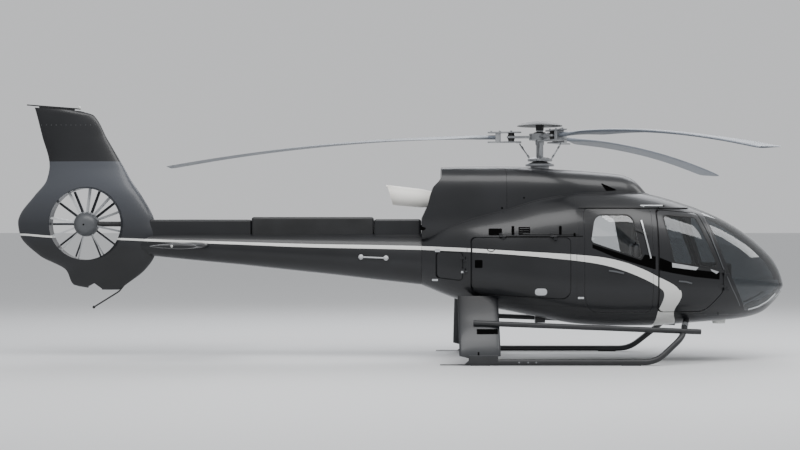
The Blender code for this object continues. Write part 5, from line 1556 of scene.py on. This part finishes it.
print("skid path points", len(skid_path(1)))

# %% [markdown]
# Where two tubes meet, one is cut out of the other with a fit, as a welder copes a joint. The
# leg is a streamlined fairing that ends in a saddle on the skid; its lower edge is a curved hem
# and its outer face has a slot and a painted shadow cast by the step. Wear shoes and a strip
# are clamped under the tube.

# %% Skids, legs and steps
for side, word in LEFT_AND_RIGHT:
    skid = carved(tube(skid_path(side), SKID_RADIUS, 32), (CUT, hull_block(1.0, 3.0, -FIT)),
                  (CUT, step_bar(side, FIT)),
                  (CUT, prism(SKID_SLANT, side * 1.1, side * 1.3)))
    shoes = [flat_bar(side, x - 0.13, x + 0.13, 0.03, 0.0, 0.035, 0.006) for x in SHOES_X]
    strip = flat_bar(side, -1.43, -0.95, 0.025, 0.010, 0.018, 0.002)
    piece(f"skid_{word}_tube", together(skid, *shoes, strip), step_black, replaces="skid_" + word)

    saddle = flat_bar(side, -1.05, -0.66, 0.042, 0.050, 0.140, 0.008)
    leg = carved(leg_block(side), (CUT, prism(LEG_HEM, side * 1.0, side * 1.4)),
                 (JOIN, saddle), (CUT, hull_block(-1.6, 0.0, -FIT)),
                 (CUT, tube(skid_path(side), SKID_RADIUS + FIT, 32)),
                 (CUT, step_bar(side, FIT)))
    # The leg's enamel carries painted shade at its top, under the belly.
    fairing = piece(f"aft_leg_{word}_fairing", leg, leg_enamel, replaces="aft_leg_" + word)
    second_finish(fairing, step_black, lambda centre, normal: centre.z - GROUND < SADDLE_TOP)
    # The dark patches are a slot and a painted shadow cast by the step.
    slots = together(*[prism(leg_face_patch(*box), side * 1.0, side * 1.5) for box in LEG_SLOT_AND_STEP_SHADOW])
    piece(f"aft_leg_{word}_slots",
          carved(leg_block(side, 0.0015), (KEEP, slots), (CUT, leg_block(side, -0.002))),
          shadow, slot="black_composite")
    foot, top = (Vector((x, side * out, height)) for x, out, height, _ in SKID_ROWS[-2:])
    step_clamp = bar(foot.lerp(top, 0.48), foot.lerp(top, 0.60), SKID_RADIUS + 0.006)
    piece(f"step_clamp_{word}", step_clamp, aluminium, slot="machined_steel")
    bolts = [bar((x, side * 1.232, SKID_LEVEL), (x, side * 1.246, SKID_LEVEL), 0.012, 6,
                 bevel=0.001) for x in (-0.384, -0.264, -0.158)]
    piece(f"skid_{word}_bolts", together(*bolts), peened_steel)
    piece(f"boarding_step_{word}_tube", step_bar(side), step_black,
          replaces="boarding_step_" + word)

# %% [markdown]
# ## Main rotor
# The mast carries a star with three arms; each arm holds a spherical bearing between the two
# plates of a sleeve, and the sleeve holds the blade. The plates get rounded corners and their
# bolts, the bearings their laminated waist.

# %% Rotor head
HUB_HEIGHT = 3.10
FIRST_BLADE = 51.65       # blade nearest the nose, degrees from the nose towards port
BLADE_ANGLES = [FIRST_BLADE + 120 * i for i in range(3)]
SLEEVE_GAP = 0.060        # half height between a sleeve's two plates
PLATE = 0.016
SLEEVE_TOP = HUB_HEIGHT + SLEEVE_GAP + PLATE
SLEEVE_FOOT = HUB_HEIGHT - SLEEVE_GAP - PLATE


def at_arm(angle, *shapes):
    return [moved(shape, Matrix.Rotation(math.radians(angle), 4, "Z")) for shape in shapes]


def plate(corners, low, high):
    """A level plate from (x, y, corner radius) rows."""
    flat = prism(corners, low, high)
    moved(flat, Matrix(((1, 0, 0, 0), (0, 0, 1, 0), (0, 1, 0, 0), (0, 0, 0, 1))))
    bmesh.ops.recalc_face_normals(flat, faces=flat.faces)
    return flat


mast = spun(((0, 2.6003), (0.050, 2.6003), (0.050, 2.98), (0.062, 3.00), (0.062, 3.040),
             (0.150, 3.055), (0.150, 3.145), (0.095, 3.150), (0.075, 3.165), (0.050, 3.170),
             (0.050, 3.190), (0, 3.190)), 64)
head_steel, head_dark = [mast], []
for angle in BLADE_ANGLES:
    arm = plate(((0.08, -0.085, 0), (0.30, -0.050, 0.03), (0.46, -0.055, 0.03),
                 (0.46, 0.055, 0.03), (0.30, 0.050, 0.03), (0.08, 0.085, 0)),
                HUB_HEIGHT - 0.015, HUB_HEIGHT + 0.015)
    sleeve = [plate(((0.26, -0.050, 0.02), (0.34, -0.075, 0.04), (0.60, -0.075, 0.03),
                     (0.73, -0.050, 0.02), (0.73, 0.050, 0.02), (0.60, 0.075, 0.03),
                     (0.34, 0.075, 0.04), (0.26, 0.050, 0.02)), low, low + PLATE)
              for low in (HUB_HEIGHT + SLEEVE_GAP, SLEEVE_FOOT)]
    fitting = plate(((0.55, -0.060, 0.01), (0.62, -0.060, 0.01), (0.62, 0.060, 0.01),
                     (0.55, 0.060, 0.01)),
                    HUB_HEIGHT - SLEEVE_GAP - FIT, HUB_HEIGHT + SLEEVE_GAP + FIT)
    horn = plate(((0.27, -0.19, 0.02), (0.33, -0.19, 0.02), (0.34, -0.05, 0.01),
                  (0.27, -0.05, 0.01)), SLEEVE_FOOT, HUB_HEIGHT - SLEEVE_GAP - 0.002)
    bolts = [bar((x, y, SLEEVE_TOP), (x, y, SLEEVE_TOP + 0.018), 0.015, 6, bevel=0.001)
             for x, y in ((0.40, 0.045), (0.40, -0.045), (0.56, 0.035), (0.56, -0.035),
                          (0.68, 0.0))]
    head_steel += at_arm(angle, arm, *sleeve, fitting, horn, *bolts)
    bearing = spun(((0, -0.0698), (0.050, -0.0698), (0.042, -0.045), (0.050, -0.020),
                    (0.036, 0.0), (0.050, 0.020), (0.042, 0.045), (0.050, 0.0698),
                    (0, 0.0698)), 32)
    head_dark += at_arm(angle, moved(bearing, Matrix.Translation((0.40, 0, HUB_HEIGHT))))
piece("rotor_head_metal", together(*head_steel), peened_steel, "main_rotor", replaces="rotor_head")
piece("rotor_bearings", together(*head_dark), rubber, "main_rotor")
cap = spun(((0, 3.321), (0.05, 3.320), (0.10, 3.316), (0.17, 3.305), (0.24, 3.288),
            (0.290, 3.270), (0.319, 3.255), (0.317, 3.251), (0.312, 3.250), (0.22, 3.272),
            (0.14, 3.283), (0.06, 3.290), (0.055, 3.1903), (0, 3.1903)), 64)
piece("rotor_cap_dome", cap, composite, "main_rotor", replaces="rotor_cap")
print("rotor head parts", len(head_steel))

# %% [markdown]
# Below the head two rings lie one on the other: the lower one stands still, the upper one turns
# with the rotor and pushes a link up to each sleeve's horn. Both are turned profiles, and each
# link is a rod with a ball end and two lock nuts.

# %% Swashplates and pitch links
SWASH_HEIGHT = 2.78
fixed = spun(((0.056, 2.754), (0.10, 2.754), (0.118, 2.744), (0.20, 2.716), (0.20, 2.692),
              (0.135, 2.692), (0.130, 2.685), (0.130, 2.6003), (0.056, 2.6003)), 64)
piece("swashplate_fixed_ring", fixed, peened_steel, replaces="swashplate_fixed")
turning = [spun(((0.053, 2.810), (0.125, 2.810), (0.132, 2.806), (0.170, 2.790), (0.170, 2.762),
                 (0.168, 2.760), (0.053, 2.760)), 64)]
for angle in BLADE_ANGLES:
    low = Vector((0.13, -0.10, SWASH_HEIGHT))
    high = Vector((0.30, -0.165, SLEEVE_FOOT - FIT))
    way = (high - low).normalized()
    turning += at_arm(angle, bar(low, high - way * 0.012, 0.010, 16), ball(low, 0.022, 16),
                      bar(low + way * 0.05, low + way * 0.09, 0.015, 6),
                      bar(high - way * 0.10, high - way * 0.06, 0.015, 6))
piece("swashplate_turning_ring", together(*turning), peened_steel, "main_rotor",
      replaces="swashplate_turning")
print("links", len(BLADE_ANGLES))

# %% [markdown]
# A blade is a twisted aerofoil that droops under its own weight. The loft carries a section
# along a table of radius, chord, thickness and pitch, exactly as the solid does, only finer.

# %% Blades
ROTOR_RADIUS, BLADE_CHORD, TIP_DROOP = 5.345, 0.35, 0.40
# radius, chord as a share, half thickness, pitch in degrees
BLADE_ROWS = ((0.621, 0.26, 0.030, 0), (0.80, 0.30, 0.030, 3), (1.10, 0.70, 0.026, 6),
              (1.40, 1.0, 0.022, 7), (2.20, 1.0, 0.021, 5), (3.00, 1.0, 0.021, 3),
              (3.80, 1.0, 0.020, 1), (4.50, 1.0, 0.019, 0), (5.10, 1.0, 0.018, -1),
              (5.30, 0.97, 0.014, -1.8), (ROTOR_RADIUS, 0.86, 0.010, -2))
BLADE_ROOT, DROOP_FROM = BLADE_ROWS[0][0], 0.9
AEROFOIL = ((0.25, 0.0), (0.245, 0.28), (0.23, 0.50), (0.19, 0.75), (0.12, 0.92), (0.05, 1.0),
            (-0.08, 0.97), (-0.25, 0.75), (-0.45, 0.46), (-0.62, 0.22), (-0.75, 0.06))
blade_at = smooth_table(BLADE_ROWS)


def blade_loft():
    ring = [*AEROFOIL, *[(along, -up) for along, up in AEROFOIL[::-1] if up]]

    def place(t, turn):
        along, up = ring[round(turn / math.tau * len(ring)) % len(ring)]
        radius = BLADE_ROOT + (ROTOR_RADIUS - BLADE_ROOT) * t
        chord_share, half, pitch = blade_at(radius)
        droop = TIP_DROOP * (max(radius - DROOP_FROM, 0) / (ROTOR_RADIUS - DROOP_FROM)) ** 2
        point = Matrix.Rotation(math.radians(-pitch), 3, "X") @ Vector(
            (0, -along * BLADE_CHORD * chord_share, up * half))
        return point + Vector((radius, 0, HUB_HEIGHT - droop))
    return skin(90, len(ring), place)


for i, angle in enumerate(BLADE_ANGLES, 1):
    piece(f"main_blade_{i}_skin", *at_arm(angle, blade_loft()), blade_paint, "main_rotor",
          replaces=f"main_blade_{i}")
print("blades", len(BLADE_ANGLES))

# %% [markdown]
# ## Cabin
# Three seats in front and four behind share one pattern: a padded cushion and backrest in black
# leather on a painted base. The padding is foam in a sewn cover, which bulges between its seams.
# Cloth simulation blows up one slightly smaller cushion and one backrest, and every seat gets a
# copy of them, so seven seats cost two simulations.

# %% Padded forms by cloth simulation
leather = plain_finish("black_leather", "17181A", "222326", (0.42, 0.55), 0.004, 0.0006)
webbing = plain_finish("woven_webbing", "2E3033", "3B3D40", (0.7, 0.85), 0.002, 0.0005)
CUSHION = ((-0.205, -0.185, 0.012), (0.225, 0.185, 0.148))
BACKREST = ((-0.262, -0.185, 0.10), (-0.158, 0.185, 0.71))
PAD_PRESSURE, PAD_VOXEL, PAD_SWELL = 4.0, 0.012, 0.010


def blown_up(name, low, high):
    """A rounded block swollen by inner pressure, each point moved by a few millimetres at most."""
    pad = shape_object(name, block(low, high, 0.035, 4))
    remesh = pad.modifiers.new("remesh", "REMESH")
    remesh.mode, remesh.voxel_size = "VOXEL", PAD_VOXEL
    flat = bpy.data.meshes.new_from_object(pad.evaluated_get(bpy.context.evaluated_depsgraph_get()))
    pad.modifiers.clear()
    pad.data = flat
    before = [vert.co.copy() for vert in flat.vertices]
    cloth = pad.modifiers.new("cloth", "CLOTH")
    cloth.settings.use_pressure = True
    cloth.settings.uniform_pressure_force = PAD_PRESSURE
    cloth.settings.effector_weights.gravity = 0.0
    for step in range(1, 21):
        bpy.context.scene.frame_set(step)
    swollen = bpy.data.meshes.new_from_object(
        pad.evaluated_get(bpy.context.evaluated_depsgraph_get()))
    pad.modifiers.clear()
    pad.data = swollen
    for vert, start in zip(swollen.vertices, before):
        move = vert.co - start
        vert.co = start + move * min(1.0, PAD_SWELL / max(move.length, 1e-6))
    bpy.context.scene.frame_set(1)
    shape = bmesh.new()
    shape.from_mesh(pad.data)
    bpy.data.objects.remove(pad)
    return shape


cushion_shape = blown_up("cushion_form", *CUSHION)
backrest_shape = blown_up("backrest_form", *BACKREST)
print("cushion faces", len(cushion_shape.faces), "backrest faces", len(backrest_shape.faces))

# %% [markdown]
# Each row stands on one box. The four seats behind are closer together, so their pads are the
# same form, a little narrower. Two strips of webbing run up each backrest.

# %% Seats in two rows
CABIN_FLOOR = 0.6403      # the floor panel's top, and a fit
SEAT_HALF, SEAT_LEVEL = (0.16, 0.62), 0.80
PADS = (("cushion", cushion_shape, SEAT_LEVEL), ("backrest", backrest_shape, 0.90))
BELT_EDGES, BELT_HALF = (-0.07, 0.07), 0.022
# row, x, places across, how much narrower than the form
SEAT_ROWS = (("front", 1.62, (-0.56, 0.0, 0.56), 1.0),
             ("rear", 0.76, (-0.66, -0.22, 0.22, 0.66), 0.95))
for row, x, places, width in SEAT_ROWS:
    base = block((x - SEAT_HALF[0], -SEAT_HALF[1], CABIN_FLOOR),
                 (x + SEAT_HALF[0], SEAT_HALF[1], SEAT_LEVEL), 0.012)
    piece(row + "_seat_base", base, panel_grey, replaces=row + "_seats")
    for i, y in enumerate(places, 1):
        for word, shape, lift in PADS:
            copy = shape.copy()
            bmesh.ops.scale(copy, vec=(1, width, 1), verts=copy.verts)
            bmesh.ops.translate(copy, vec=(x, y, lift), verts=copy.verts)
            pad = piece(f"{row}_{word}_{i}", copy, leather, slot="black_leather")
    belts = [block((x - 0.152, y + edge - BELT_HALF, 1.02), (x - 0.147, y + edge + BELT_HALF, 1.60),
                   0.001) for y in places for edge in BELT_EDGES]
    piece(row + "_seat_belts", together(*belts), webbing, slot="black_leather")
cushion_shape.free()
backrest_shape.free()
print("seats", sum(len(places) for _, _, places, _ in SEAT_ROWS))

# %% [markdown]
# In front of the seats a slim console carries the displays under a hood. Three dark screens
# between two rows of keys are enough through the windshield; the levers are bent tubes with
# moulded grips, and the pedals are small plates.

# %% Console, hood, levers and pedals
console = block((2.25, -0.16, 0.64), (2.62, 0.16, 1.10), 0.012)
hood = carved(block((2.33, -0.44, 1.08), (2.60, 0.44, 1.34), 0.03),
              (CUT, block((2.20, -0.41, 1.06), (2.37, 0.41, 1.31), 0.02)))
piece("instrument_hood", together(console, hood), panel_grey, replaces="instrument_panel")
screens = [block((2.362, y - 0.11, 1.10), (2.3695, y + 0.11, 1.26), 0.002)
           for y in (-0.26, 0.0, 0.26)]
piece("display_screens", together(*screens), display_glass, slot="lamp_lens")
keys = [block((2.352, y - 0.008, z), (2.3699, y + 0.008, z + 0.012), 0.002)
        for y in [-0.36 + 0.024 * k for k in range(31)] for z in (1.075, 1.275)]
piece("panel_keys", together(*keys), rubber, slot="black_composite")
PILOT_SIDE, LEVER_SIDE = 0.56, 0.30
for side, word in LEFT_AND_RIGHT:
    middle, lever = side * PILOT_SIDE, side * LEVER_SIDE
    stick = tube(bent_path(((1.98, middle, CABIN_FLOOR, 0), (2.06, middle, 0.85, 0.08),
                            (1.98, middle, 1.02, 0))), 0.012)
    grip = bar((1.982, middle, 1.00), (1.955, middle, 1.13), 0.019, 16, 0.023, 0.004)
    collective = tube(((1.52, lever, 0.70), (1.72, lever, 0.78), (1.86, lever, 0.86)), 0.014)
    feet = (middle - 0.10, middle + 0.10)
    pedals = [block((2.36, y - 0.04, 0.70), (2.372, y + 0.04, 0.84), 0.004) for y in feet]
    arms = [bar((2.365, y, CABIN_FLOOR), (2.366, y, 0.71), 0.008) for y in feet]
    piece(f"levers_{word}", together(stick, grip, collective, *pedals, *arms), composite,
          slot="black_composite")

# %% [markdown]
# The engine and the gearbox stay as the frame's own plain blocks, closed inside the cowlings.
# They still get the finish of cast and machined aluminium, for anyone who opens the cowling.

# %% Finishes of the carried-over blocks
cast_aluminium = plain_finish("cast_aluminium", "85878A", "9B9DA0", (0.45, 0.6), 0.003, 0.0006, 0.7)
CARRIED_OVER = ("engine_block", "main_gearbox")
for node in CARRIED_OVER:
    for material_slot in frame["nodes"][node].material_slots:
        material_slot.material = cast_aluminium
print("carried over", *CARRIED_OVER)

# %% [markdown]
# The landing light is a lens under the nose, a cone whose upper end is cut to the belly.

# %% Landing light
lamp = carved(bar((2.51, 0, 0.49), (2.51, 0, 0.60), 0.085, 48, 0.11),
              (CUT, hull_block(2.0, 3.0, -FIT)))
piece("landing_light_lens", lamp, clear_lens, replaces="landing_light")
